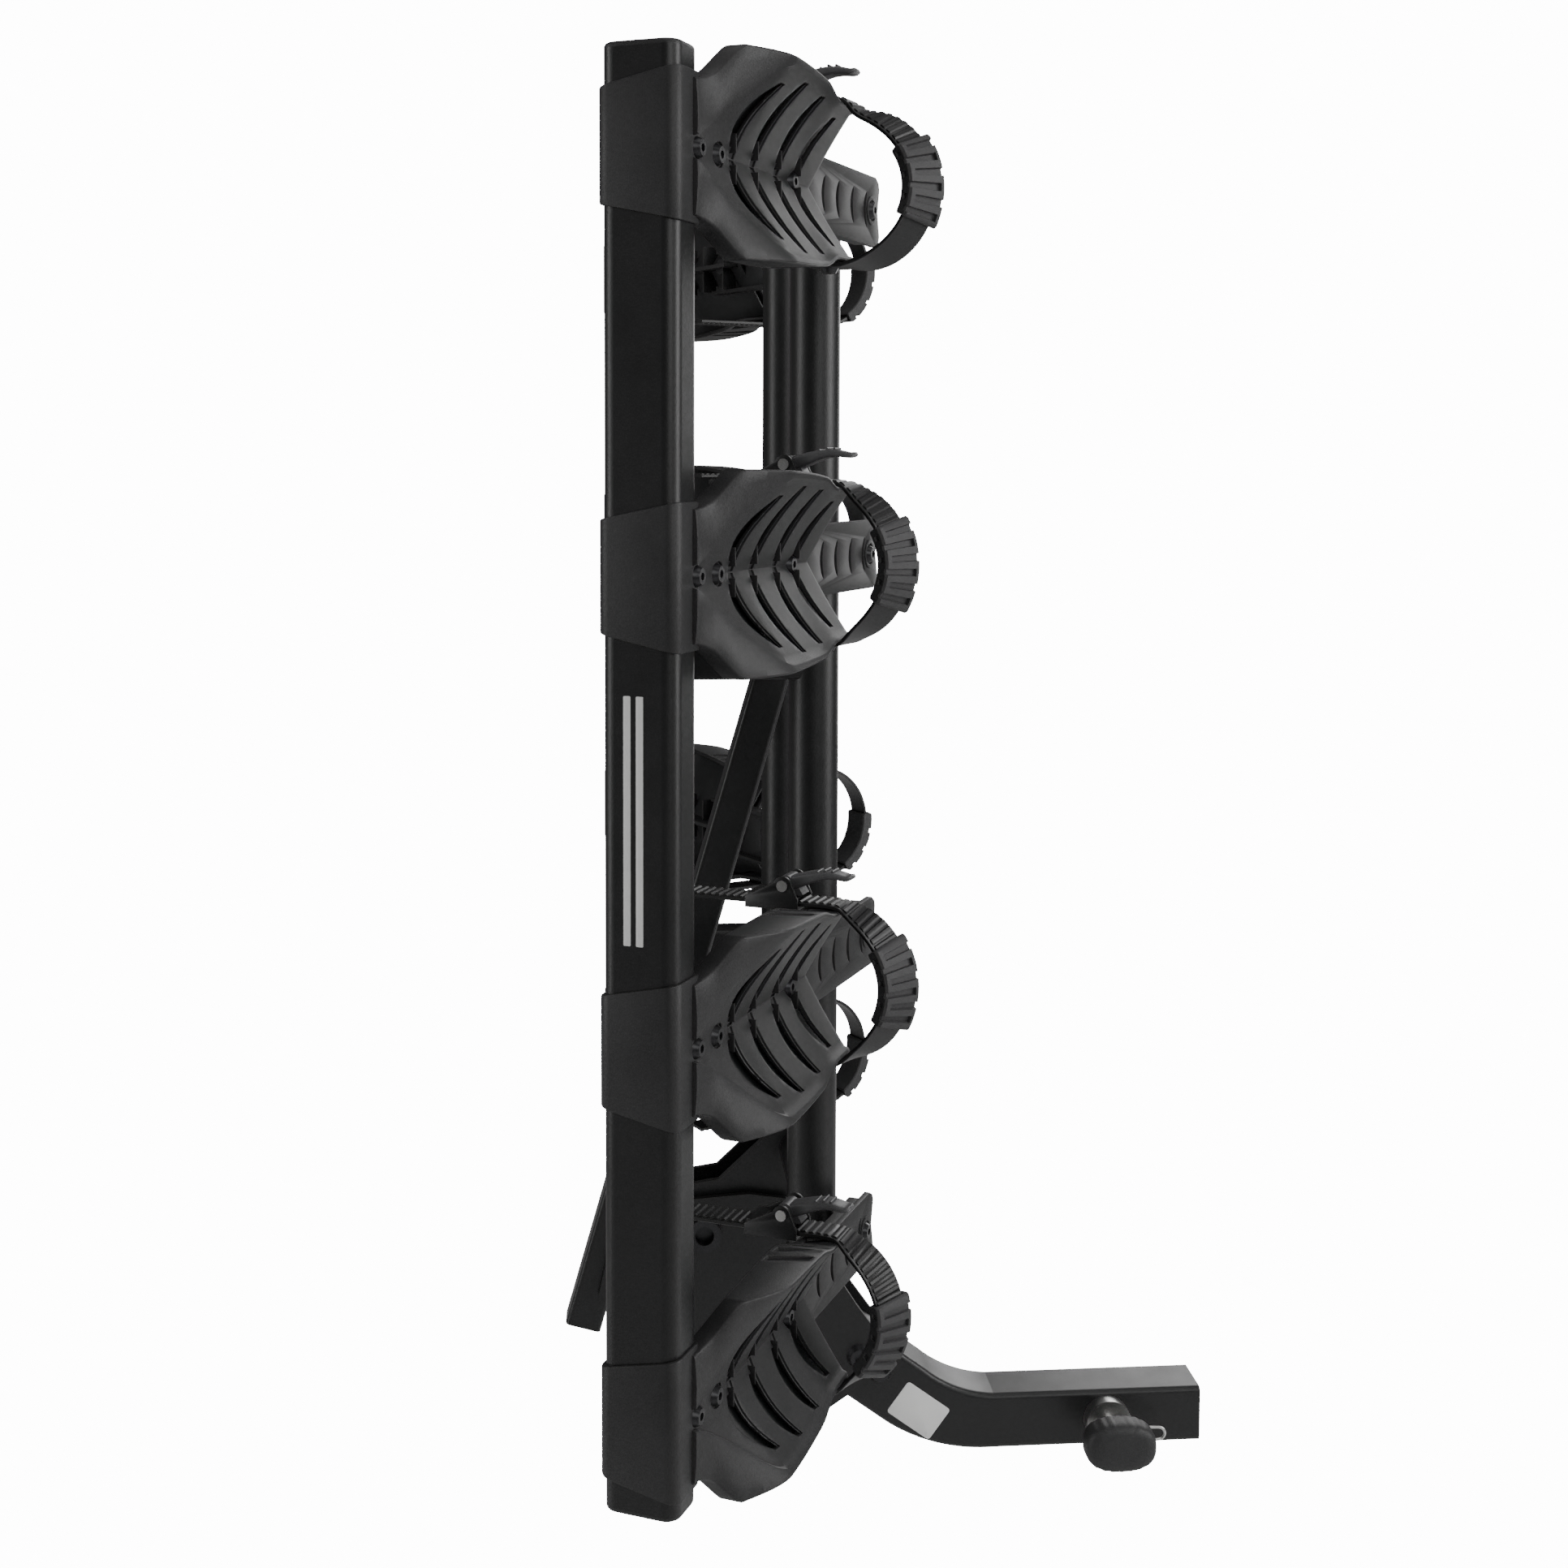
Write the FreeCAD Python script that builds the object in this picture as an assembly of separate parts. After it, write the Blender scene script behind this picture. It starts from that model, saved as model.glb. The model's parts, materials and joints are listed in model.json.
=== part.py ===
import FreeCAD, Part

import math
import os

# Four-bike platform rack for a 2 inch receiver, folded up against the vehicle.
# Millimetres.  Origin: hitch pin axis in the middle plane of the shank.
# +X points to the vehicle, +Y across it, +Z up.

# ---------------------------------------------------------------- driving dimensions
SHANK = 50.8                # 2 inch receiver shank, outside
SHANK_WALL = 5.0
SHANK_CORNER = 5.0
SHANK_TIP_X = 88.0          # end that enters the receiver
BEND_VERTEX_X = -149.0      # where the two straight runs of the shank would cross
BEND_RADIUS = 138.0
BEND_ANGLE = 36.0           # the gooseneck rises at this angle
NECK_DEPTH = 60.0           # the neck is deeper than the shank
NECK_END_X = -252.0         # centre of the neck's upper end
NECK_BOLTS = (82.0, 106.0)  # along the neck from the bend's corner
PIN_D = 15.88               # 5/8 inch hitch pin
PIN_HOLE_D = 16.3
PIN_TIP_D = 12.0            # stepped end of the pin that takes a lock barrel
PIN_TIP_Y = 54.0

PIVOT_X = -370.0            # platform hinge
PIVOT_Z = 188.0
PIVOT_D = 19.0
FOLD_ANGLE = 90.0
BRACKET_T = 6.0
YOKE_T = 6.0
YOKE_IN = 16.0              # inner face of each yoke plate, from the middle plane
LOCK_R = 36.0               # lock pin holes, distance from the pivot
LOCK_D = 10.0

BEAM_X = -427.0             # side beams: centre lines
BEAM_Y = 480.0
BEAM_W = 38.0               # across the tray direction
BEAM_D = 54.0               # along the tray normal
BEAM_CORNER = 10.0
BEAM_WALL = 2.5
BEAM_Z0 = 180.0
BEAM_Z1 = 1140.0
CAP_LIP = 4.0

RAIL_X = -285.4             # round inner rails
RAIL_Y = 148.0
RAIL_D = 41.0
RAIL_WALL = 2.5
RAIL_Z0 = 220.0
RAIL_Z1 = 1110.0

CROSS = 40.0                # square cross tubes between the beams
CROSS_ZS = (715.0, 405.0)
FOOT_TUBE_D = 32.0          # round tube that joins the rail feet
FOOT_TUBE_Z = 258.0

STRUT = 32.0                # square strut in the middle plane
STRUT_WALL = 2.5
STRUT_CORNER = 4.0
STRUT_TILT = 16.0           # from the vertical
STRUT_FOOT = (-478.0, 96.0)  # centre of its lower end, X and Z
STRUT_LENGTH = 690.0
TOP_BAR_Z = 752.0
TOP_BAR_D = 28.0

CANT = 26.0                 # trays rise inward at this angle
HOLDER_ZS = (1078.0, 801.0, 488.0, 238.0)
FLOOR_N = 29.0              # valley line above the beam's centre
SLEEVE_S = 21.0             # half length of the clamp sleeve along the valley
SLEEVE_NARROW = 37.0        # half height of the sleeve behind the beam
SLEEVE_WIDE = 49.0          # and on the valley's side
SHELL = 5.0
RIM_WALL = 4.0
# along the valley: distance, outer half width, rim height, lower edge of the outer wall
WING = ((4, 44, 31, 16), (22, 49, 36, 21), (40, 70, 52, 36), (85, 69, 71, 34), (150, 65, 69, 30),
        (186, 56.5, 66, 34), (217, 56, 65, 42))
TONGUE_END = 383.0
TONGUE_HALF = 27.0
SLOTS = ((63, 84), (100, 119), (144, 156), (182, 191))
SLOT_W = 7.0
TONGUE_SLOTS = (248.0, 280.0, 314.0, 346.0)
BLIND_BOLTS = (43.0, 180.0)  # screws in bosses under the valley

STRAP_T = 3.0
STRAP_W = 26.0
STRAP_S = 204.0             # middle of the strap along the valley
ANCHOR_N = 50.0             # height of the strap's anchor bolt
LOOP_R = 58.0               # inside of the strap loop
PAD_HALF_ANGLE = 34.0
PAD_W = 38.0
PAD_GAP = 0.4
LEVER_LENGTH = 50.0
LEVER_W = 18.0
RIVET_T = 73.0              # rivet axis, from the valley plane

# side, number, buckle side, loop centre height, pad angle, rivet height, lever angle, tail length
LOOPS = (
    ("near", 1, 1, 77.0, -13.0, 21.0, 0.0, 40.0),
    ("near", 2, 1, 60.5, -10.0, 21.0, 0.0, 40.0),
    ("near", 3, 1, 62.4, 0.0, 21.0, 0.0, 70.0),
    ("near", 4, 1, 54.4, 0.0, 21.0, 0.0, 60.0),
    ("far", 1, 1, 114.0, 25.0, 96.0, 30.0, 30.0),
    ("far", 2, -1, 114.0, 25.0, 96.0, 30.0, 30.0),
    ("far", 3, 1, 114.0, 25.0, 96.0, 30.0, 30.0),
    ("far", 4, 1, 114.0, 25.0, 96.0, 30.0, 30.0),
)

SIN = math.sin(math.radians(CANT))
COS = math.cos(math.radians(CANT))
# the rail's centre line in the tray frame
TONGUE_BOLT_S = (RAIL_X - BEAM_X) * SIN + (BEAM_Y - RAIL_Y) * COS
RAIL_N = (RAIL_X - BEAM_X) * COS - (BEAM_Y - RAIL_Y) * SIN
Vec = FreeCAD.Vector
X_AXIS, Y_AXIS, Z_AXIS = Vec(1, 0, 0), Vec(0, 1, 0), Vec(0, 0, 1)


# ---------------------------------------------------------------- helpers
def save(name, shape):
    """Write one node, after checking that every solid in it is closed and valid."""
    solids = shape.Solids
    assert solids and all(s.isValid() and s.isClosed() for s in solids), name
    whole = solids[0] if len(solids) == 1 else Part.makeCompound(solids)
    whole.exportStep("parts/" + name + ".step")
    print(name, len(solids), "volume", round(sum(s.Volume for s in solids) / 1000.0, 2), "cm3")


def join(shapes):
    """One solid from shapes that touch or overlap."""
    whole = shapes[0]
    for shape in shapes[1:]:
        whole = whole.fuse(shape)
    return whole.removeSplitter()


def box(x0, x1, y0, y1, z0, z1):
    return Part.makeBox(x1 - x0, y1 - y0, z1 - z0, Vec(x0, y0, z0))


def cylinder(radius, start, end):
    line = end - start
    return Part.makeCylinder(radius, line.Length, start, line)


def rounded_wire(width, depth, corner):
    """A rounded rectangle about the origin, width along X and depth along Y."""
    a, b = width / 2.0 - corner, depth / 2.0 - corner
    k = corner * math.sqrt(0.5)
    w, d = width / 2.0, depth / 2.0
    edges = [Part.LineSegment(Vec(-a, -d, 0), Vec(a, -d, 0)),
             Part.Arc(Vec(a, -d, 0), Vec(a + k, -b - k, 0), Vec(w, -b, 0)),
             Part.LineSegment(Vec(w, -b, 0), Vec(w, b, 0)),
             Part.Arc(Vec(w, b, 0), Vec(a + k, b + k, 0), Vec(a, d, 0)),
             Part.LineSegment(Vec(a, d, 0), Vec(-a, d, 0)),
             Part.Arc(Vec(-a, d, 0), Vec(-a - k, b + k, 0), Vec(-w, b, 0)),
             Part.LineSegment(Vec(-w, b, 0), Vec(-w, -b, 0)),
             Part.Arc(Vec(-w, -b, 0), Vec(-a - k, -b - k, 0), Vec(-a, -d, 0))]
    return Part.Wire([e.toShape() for e in edges])


def bar(width, depth, corner, length):
    """A solid rounded bar standing on the origin."""
    return Part.Face(rounded_wire(width, depth, corner)).extrude(Vec(0, 0, length))


def tube(width, depth, corner, wall, length):
    inner = bar(width - 2 * wall, depth - 2 * wall, max(corner - wall, 0.8), length)
    return bar(width, depth, corner, length).cut(inner)


def placed(shape, origin, x_dir, y_dir):
    """Move a shape from the origin to a frame given by its X and Y directions."""
    z_dir = x_dir.cross(y_dir)
    matrix = FreeCAD.Matrix(x_dir.x, y_dir.x, z_dir.x, origin.x,
                            x_dir.y, y_dir.y, z_dir.y, origin.y,
                            x_dir.z, y_dir.z, z_dir.z, origin.z,
                            0, 0, 0, 1)
    moved = shape.copy()
    moved.Placement = FreeCAD.Placement(matrix).multiply(shape.Placement)
    return moved


def plate(points, y0, y1):
    """A flat plate from points in X and Z, between two values of Y."""
    wire = Part.makePolygon([Vec(x, y0, z) for x, z in points + points[:1]])
    return Part.Face(wire).extrude(Vec(0, y1 - y0, 0))


def bolt(radius, length, head_radius, head_height):
    """A button head bolt along Z: the shank goes down from the origin, the head stands on it."""
    head = Part.makeCone(head_radius, head_radius * 0.72, head_height)
    socket = Part.makeCylinder(head_radius * 0.36, head_height * 0.6, Vec(0, 0, head_height * 0.4))
    return join([head.cut(socket), Part.makeCylinder(radius, length, Vec(0, 0, -length))])


# ---------------------------------------------------------------- tray frame
# Local axes of a tray: s along its valley to the middle plane, t across it, n out of it.
def tray_origin(side, z):
    return Vec(BEAM_X, BEAM_Y if side == "far" else -BEAM_Y, z)


def tray_axes(side):
    sign = -1.0 if side == "far" else 1.0
    return Vec(SIN, sign * COS, 0), Vec(0, 0, sign)


def to_tray(shape, side, z):
    s_dir, t_dir = tray_axes(side)
    return placed(shape, tray_origin(side, z), s_dir, t_dir)


def flip(shape, buckle_side):
    """Turn a shape built for the +t side half round about the n axis line of the strap."""
    if buckle_side > 0:
        return shape
    turned = shape.copy()
    turned.rotate(Vec(STRAP_S, 0, 0), Z_AXIS, 180)
    return turned


# ---------------------------------------------------------------- hitch mount
def neck_point(along, across):
    """A point beside the neck's centre line, measured from the bend's corner."""
    a = math.radians(BEND_ANGLE)
    return Vec(BEND_VERTEX_X - along * math.cos(a) + across * math.sin(a), 0,
               along * math.sin(a) + across * math.cos(a))


def shank_section(angle, width, depth, corner):
    """The shank's section at an angle round the bend."""
    tangent = BEND_RADIUS * math.tan(math.radians(BEND_ANGLE / 2.0))
    a = math.radians(angle)
    centre = Vec(BEND_VERTEX_X + tangent - BEND_RADIUS * math.sin(a), 0,
                 BEND_RADIUS * (1 - math.cos(a)))
    up = Vec(math.sin(a), 0, math.cos(a))
    return placed(rounded_wire(width, depth, corner), centre, Y_AXIS, up)


def shank_body(offset, corner):
    """The bent shank's outer form, or its bore when offset is the wall."""
    shapes = []
    width, depth = SHANK - 2 * offset, SHANK - 2 * offset
    neck = NECK_DEPTH - 2 * offset
    tangent = BEND_RADIUS * math.tan(math.radians(BEND_ANGLE / 2.0))
    start = shank_section(0, width, depth, corner)
    end = shank_section(BEND_ANGLE, width, neck, corner)
    reach = SHANK_TIP_X - (BEND_VERTEX_X + tangent)
    shapes.append(Part.Face(start).extrude(Vec(reach, 0, 0)))
    steps = 4
    wires = [shank_section(BEND_ANGLE * i / steps, width, depth + (neck - depth) * i / steps, corner)
             for i in range(steps + 1)]
    shapes.append(Part.makeLoft(wires, True, False))
    a = math.radians(BEND_ANGLE)
    neck_length = (BEND_VERTEX_X - NECK_END_X) / math.cos(a) - tangent
    shapes.append(Part.Face(end).extrude(Vec(-neck_length * math.cos(a), 0, neck_length * math.sin(a))))
    return join(shapes)


def make_shank():
    shank = shank_body(0.0, SHANK_CORNER).cut(shank_body(SHANK_WALL, 1.5))
    hole = cylinder(PIN_HOLE_D / 2, Vec(0, -SHANK, 0), Vec(0, SHANK, 0))
    shank = shank.cut(hole)
    for at in neck_bolt_points():
        shank = shank.cut(cylinder(6.2, at - Vec(0, SHANK, 0), at + Vec(0, SHANK, 0)))
    return shank


# bracket plate outline in X and Z; the strut swings between the two plates
BRACKET_OUTLINE = [(-226, 42), (-196, 66), (-232, 116), (-296, 216), (-330, 221), (-390, 217),
                   (-404, 204), (-404, 66), (-394, 56), (-330, 42), (-292, 28), (-262, 18)]


def lock_hole(angle):
    """Centre of a lock hole at an angle round the pivot."""
    a = math.radians(angle)
    return Vec(PIVOT_X + LOCK_R * math.cos(a), 0, PIVOT_Z + LOCK_R * math.sin(a))


LOCK_ANGLE = -42.0
LOCK_POINT = lock_hole(LOCK_ANGLE)


def neck_bolt_points():
    return [neck_point(along, 8.0) for along in NECK_BOLTS]


def make_bracket(sign):
    inner, outer = SHANK / 2, SHANK / 2 + BRACKET_T
    y0, y1 = sorted((sign * inner, sign * outer))
    side = plate(BRACKET_OUTLINE, y0, y1)
    holes = [(Vec(PIVOT_X, 0, PIVOT_Z), PIVOT_D / 2 + 0.15)]
    holes += [(p, 6.2) for p in neck_bolt_points()]
    if sign > 0:
        holes.append((LOCK_POINT, LOCK_D / 2 + 0.3))
    for point, radius in holes:
        side = side.cut(cylinder(radius, point - Vec(0, 60, 0), point + Vec(0, 60, 0)))
    return side


def make_pivot_bolt():
    """Pivot bolt: shouldered head on the near side, nut on the far side."""
    half = SHANK / 2 + BRACKET_T
    at = Vec(PIVOT_X, 0, PIVOT_Z)
    shaft = cylinder(PIVOT_D / 2, at - Vec(0, half, 0), at + Vec(0, half + 22, 0))
    boss = cylinder(15.0, at - Vec(0, half + 12, 0), at - Vec(0, half, 0))
    socket = cylinder(8.5, at - Vec(0, half + 12, 0), at - Vec(0, half + 3, 0))
    nut = Part.Face(Part.makePolygon([Vec(16 * math.cos(i * math.pi / 3), 0, 16 * math.sin(i * math.pi / 3))
                                      for i in range(7)])).extrude(Vec(0, 14, 0))
    nut.translate(at + Vec(0, half, 0))
    nut = nut.cut(cylinder(PIVOT_D / 2, at, at + Vec(0, 80, 0)))
    return Part.makeCompound([join([shaft, boss.cut(socket)]), nut])


def make_bracket_bolts():
    """Two through bolts with nuts that clamp the bracket plates on the neck."""
    solids = []
    half = SHANK / 2 + BRACKET_T
    for point in neck_bolt_points():
        screw = placed(bolt(6.0, 2 * half + 12, 11.0, 6.5), point - Vec(0, half, 0), X_AXIS, Z_AXIS)
        hexagon = Part.makePolygon([Vec(10 * math.cos(i * math.pi / 3), half, 10 * math.sin(i * math.pi / 3))
                                    for i in range(7)])
        nut = Part.Face(hexagon).extrude(Vec(0, 9, 0))
        nut.translate(point)
        nut = nut.cut(cylinder(6.0, point, point + Vec(0, 80, 0)))
        solids += [screw, nut]
    return Part.makeCompound(solids)


def rotated_in_use(shape):
    """The shape as it stands when the platform is folded down."""
    turned = shape.copy()
    turned.rotate(Vec(PIVOT_X, 0, PIVOT_Z), Y_AXIS, -FOLD_ANGLE)
    return turned


def make_fold_stop():
    """Rubber block in the neck's open end that the strut's foot meets in use."""
    a = math.radians(BEND_ANGLE)
    end = Vec(NECK_END_X, 0, (BEND_VERTEX_X - NECK_END_X) * math.tan(a))
    up = Vec(math.sin(a), 0, math.cos(a))
    plug = placed(bar(SHANK - 2 * SHANK_WALL - 0.2, NECK_DEPTH - 2 * SHANK_WALL - 0.2, 1.4, 12.0),
                  end, Y_AXIS, up)
    outward = Vec(-math.cos(a), 0, math.sin(a))
    nose = placed(bar(30.0, 34.0, 4.0, 60.0), end + outward * 60.0 - up * 9.0, Y_AXIS, up)
    clear = rotated_in_use(strut_bar(STRUT + 1.6, 0.8))
    nose = nose.cut(clear)
    pieces = sorted(nose.Solids, key=lambda s: s.CenterOfMass.sub(end).Length)
    return join([plug, pieces[0]])


# ---------------------------------------------------------------- hitch pin
def make_hitch_pin():
    pin = cylinder(PIN_D / 2, Vec(0, -62, 0), Vec(0, SHANK / 2 + 4, 0))
    tip = cylinder(PIN_TIP_D / 2, Vec(0, SHANK / 2 + 4, 0), Vec(0, PIN_TIP_Y, 0))
    collar = cylinder(21.0, Vec(0, -38, 0), Vec(0, -SHANK / 2, 0))
    clip_hole = cylinder(1.9, Vec(-30, -46, 0), Vec(30, -46, 0))
    return join([pin, tip, collar]).cut(clip_hole)


def make_hitch_knob():
    """Ribbed oval grip moulded on the pin's outer end."""
    ellipse = Part.Ellipse(Vec(0, 0, 0), 32.0, 22.0).toShape()
    grip = Part.Face(Part.Wire(ellipse)).extrude(Vec(0, 0, 34.0))
    grip = grip.makeFillet(9.0, [e for e in grip.Edges if e.Closed])
    for i in range(-3, 4):
        for sign in (-1, 1):
            groove = Part.makeCylinder(2.0, 60, Vec(i * 8.0, sign * (22.8 - abs(i) * 1.1), -10))
            grip = grip.cut(groove)
    knob = placed(grip, Vec(0, -90, 0), X_AXIS, Vec(0, 0, -1))
    return knob.cut(cylinder(PIN_D / 2, Vec(0, -62, 0), Vec(0, 0, 0)))


def make_hitch_clip():
    """Wire keeper through the pin, bent back on itself outside."""
    y = -46.0
    points = [Vec(-20, y, 0), Vec(44, y, 0)]
    straight = cylinder(1.5, points[0], points[1])
    turn = Part.makeTorus(6.0, 1.5, Vec(44, y, -6.0), Y_AXIS).common(box(44, 60, y - 3, y + 3, -14, 2))
    back = cylinder(1.5, Vec(44, y, -12), Vec(24, y, -12))
    return join([straight, turn, back])


# ---------------------------------------------------------------- fold lock
def make_lock_pin():
    """Pull pin that holds the platform up or down, shown drawn just clear of the yoke."""
    inner = YOKE_IN + YOKE_T + 0.5
    start = LOCK_POINT + Vec(0, inner, 0)
    outer = SHANK / 2 + BRACKET_T
    shaft = cylinder(LOCK_D / 2, start, LOCK_POINT + Vec(0, outer + 49, 0))
    knob = cylinder(13.0, LOCK_POINT + Vec(0, outer + 37, 0), LOCK_POINT + Vec(0, outer + 49, 0))
    shoulder = cylinder(6.6, LOCK_POINT + Vec(0, outer + 11.0, 0), LOCK_POINT + Vec(0, outer + 13.0, 0))
    return join([shaft, knob, shoulder])


def make_lock_housing():
    """Threaded sleeve on the far plate that guides the pull pin and holds its spring."""
    outer = SHANK / 2 + BRACKET_T
    base = LOCK_POINT + Vec(0, outer, 0)
    sleeve = cylinder(10.5, base, base + Vec(0, 30, 0))
    bore = cylinder(LOCK_D / 2 + 0.35, base - Vec(0, 2, 0), base + Vec(0, 32, 0))
    chamber = cylinder(8.0, base + Vec(0, 4.8, 0), base + Vec(0, 27, 0))
    return sleeve.cut(bore).cut(chamber)


# ---------------------------------------------------------------- platform frame
def strut_bar(size, extra):
    """The strut's outer form, longer than the strut by extra at both ends."""
    a = math.radians(STRUT_TILT)
    along = Vec(math.sin(a), 0, math.cos(a))
    across = Vec(math.cos(a), 0, -math.sin(a))
    foot = Vec(STRUT_FOOT[0], 0, STRUT_FOOT[1])
    return placed(bar(size, size, STRUT_CORNER, STRUT_LENGTH + 2 * extra), foot - along * extra, across, Y_AXIS)


def make_strut():
    strut = strut_bar(STRUT, 0.0).cut(strut_bar(STRUT - 2 * STRUT_WALL, 1.0))
    strut = strut.cut(cylinder(TOP_BAR_D / 2, Vec(RAIL_X, -40, TOP_BAR_Z), Vec(RAIL_X, 40, TOP_BAR_Z)))
    low = CROSS_ZS[1]
    strut = strut.cut(box(BEAM_X - 60, BEAM_X + CROSS / 2, -60, 60, low - CROSS / 2, low + CROSS / 2))
    return max(strut.Solids, key=lambda s: s.Volume)


def make_strut_cap():
    """Plastic plug in the strut's open foot."""
    across = Vec(math.cos(math.radians(STRUT_TILT)), 0, -math.sin(math.radians(STRUT_TILT)))
    foot = Vec(STRUT_FOOT[0], 0, STRUT_FOOT[1])
    inner = STRUT - 2 * STRUT_WALL
    return placed(bar(inner, inner, STRUT_CORNER, 18.0), foot, across, Y_AXIS)


def beam_bar(sign, width, depth, corner, z0, z1):
    whole = bar(width, depth, corner, z1 - z0)
    # width lies along the valley, depth along the tray normal
    s_dir = Vec(sign * SIN, -COS, 0)
    n_dir = Vec(COS, sign * SIN, 0)
    return placed(whole, Vec(BEAM_X, sign * BEAM_Y, z0), s_dir, n_dir)


def make_beam(sign):
    outer = beam_bar(sign, BEAM_W, BEAM_D, BEAM_CORNER, BEAM_Z0, BEAM_Z1)
    inner = beam_bar(sign, BEAM_W - 2 * BEAM_WALL, BEAM_D - 2 * BEAM_WALL, BEAM_CORNER - BEAM_WALL,
                     BEAM_Z0, BEAM_Z1)
    return outer.cut(inner)


def make_beam_caps():
    caps = []
    for sign in (-1, 1):
        for z, way in ((BEAM_Z0, -1), (BEAM_Z1, 1)):
            z0, z1 = sorted((z, z + way * CAP_LIP))
            lip = beam_bar(sign, BEAM_W + 1.5, BEAM_D + 1.5, BEAM_CORNER, z0, z1)
            p0, p1 = sorted((z, z - way * 18.0))
            wall = 2 * BEAM_WALL
            plug = beam_bar(sign, BEAM_W - wall, BEAM_D - wall, BEAM_CORNER - BEAM_WALL, p0, p1)
            caps.append(join([lip, plug]))
    return Part.makeCompound(caps)


def make_rail(sign):
    y = sign * RAIL_Y
    outer = cylinder(RAIL_D / 2, Vec(RAIL_X, y, RAIL_Z0), Vec(RAIL_X, y, RAIL_Z1))
    inner = cylinder(RAIL_D / 2 - RAIL_WALL, Vec(RAIL_X, y, RAIL_Z0), Vec(RAIL_X, y, RAIL_Z1))
    return outer.cut(inner)


def make_rail_caps():
    caps = []
    for sign in (-1, 1):
        for z, way in ((RAIL_Z0, -1), (RAIL_Z1, 1)):
            at = Vec(RAIL_X, sign * RAIL_Y, z)
            lip = cylinder(RAIL_D / 2 + 0.6, at, at + Vec(0, 0, way * 4.0))
            plug = cylinder(RAIL_D / 2 - RAIL_WALL, at, at - Vec(0, 0, way * 16.0))
            caps.append(join([lip, plug]))
    return Part.makeCompound(caps)


def make_cross_tubes():
    """Two square tubes from beam to beam, cut to the beams' flanks."""
    tubes = []
    for z in CROSS_ZS:
        lying = placed(tube(CROSS, CROSS, 5.0, 2.5, 2 * BEAM_Y), Vec(BEAM_X, -BEAM_Y, z), Z_AXIS, X_AXIS)
        for sign in (-1, 1):
            lying = lying.cut(beam_bar(sign, BEAM_W, BEAM_D, BEAM_CORNER, BEAM_Z0, BEAM_Z1))
            end = sign * (BEAM_Y + 60)
            y0, y1 = sorted((sign * BEAM_Y, end))
            lying = lying.cut(box(-500, -340, y0, y1, z - 40, z + 40))
        tubes.append(max(lying.Solids, key=lambda s: s.Volume))
    return Part.makeCompound(tubes)


def make_risers():
    """Four posts that carry the rails above the cross tubes."""
    posts = []
    for z in CROSS_ZS:
        for sign in (-1, 1):
            x0 = BEAM_X + CROSS / 2
            post = placed(tube(34.0, 34.0, 4.0, 2.5, RAIL_X - x0), Vec(x0, sign * RAIL_Y, z), Y_AXIS, Z_AXIS)
            rail = cylinder(RAIL_D / 2, Vec(RAIL_X, sign * RAIL_Y, z - 60), Vec(RAIL_X, sign * RAIL_Y, z + 60))
            posts.append(max(post.cut(rail).Solids, key=lambda s: s.Volume))
    return Part.makeCompound(posts)


def between_rails(radius, x, z):
    """A round bar between the rails, cut to their flanks."""
    whole = cylinder(radius, Vec(x, -RAIL_Y, z), Vec(x, RAIL_Y, z))
    for sign in (-1, 1):
        rail = cylinder(RAIL_D / 2, Vec(RAIL_X, sign * RAIL_Y, z - 60), Vec(RAIL_X, sign * RAIL_Y, z + 60))
        whole = whole.cut(rail)
    return max(whole.Solids, key=lambda s: s.Volume)


def make_top_bar():
    return between_rails(TOP_BAR_D / 2, RAIL_X, TOP_BAR_Z)


YOKE_OUTLINE = [(-464, 128), (-428, 126), (-400, 134), (-366, 132), (-340, 142), (-326, 168), (-322, 196),
                (-264, 236), (-262, 276), (-300, 284), (-356, 232), (-396, 226), (-412, 236), (-440, 236)]


def make_yoke():
    """Welded yoke: two side plates on the strut, and the tube that carries the rail feet."""
    pieces = []
    for sign in (-1, 1):
        y0, y1 = sorted((sign * YOKE_IN, sign * (YOKE_IN + YOKE_T)))
        side = plate(YOKE_OUTLINE, y0, y1)
        side = side.cut(cylinder(PIVOT_D / 2 + 2.5, Vec(PIVOT_X, -60, PIVOT_Z), Vec(PIVOT_X, 60, PIVOT_Z)))
        for at in (LOCK_POINT, lock_hole(LOCK_ANGLE - FOLD_ANGLE)):
            side = side.cut(cylinder(LOCK_D / 2 + 0.3, at - Vec(0, 60, 0), at + Vec(0, 60, 0)))
        pieces.append(side)
    foot_tube = between_rails(FOOT_TUBE_D / 2, RAIL_X, FOOT_TUBE_Z)
    return join([foot_tube] + pieces)


def make_bushes():
    """Flanged plain bushes in the yoke plates, round the pivot bolt."""
    bushes = []
    for sign in (-1, 1):
        at = Vec(PIVOT_X, sign * YOKE_IN, PIVOT_Z)
        out = Vec(0, sign, 0)
        sleeve = cylinder(PIVOT_D / 2 + 2.5, at, at + out * YOKE_T)
        flange = cylinder(16.0, at + out * YOKE_T, at + out * (SHANK / 2 - YOKE_IN - 0.4))
        bore = cylinder(PIVOT_D / 2 + 0.15, at - out * 5, at + out * 30)
        bushes.append(join([sleeve, flange]).cut(bore))
    return Part.makeCompound(bushes)


# ---------------------------------------------------------------- trays
def wing_section(s, half, rim, low):
    """Corners of the wings' closed section at one place along the valley."""
    inner = half - RIM_WALL
    right = [(inner, rim), (half, rim), (half, low), (inner, low),
             (inner, rim - SHELL - 2.0)]
    points = [(0, FLOOR_N)] + right + [(0, FLOOR_N - SHELL)]
    points += [(-t, n) for t, n in reversed(right)]
    return [Vec(s, t, n) for t, n in points]


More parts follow.
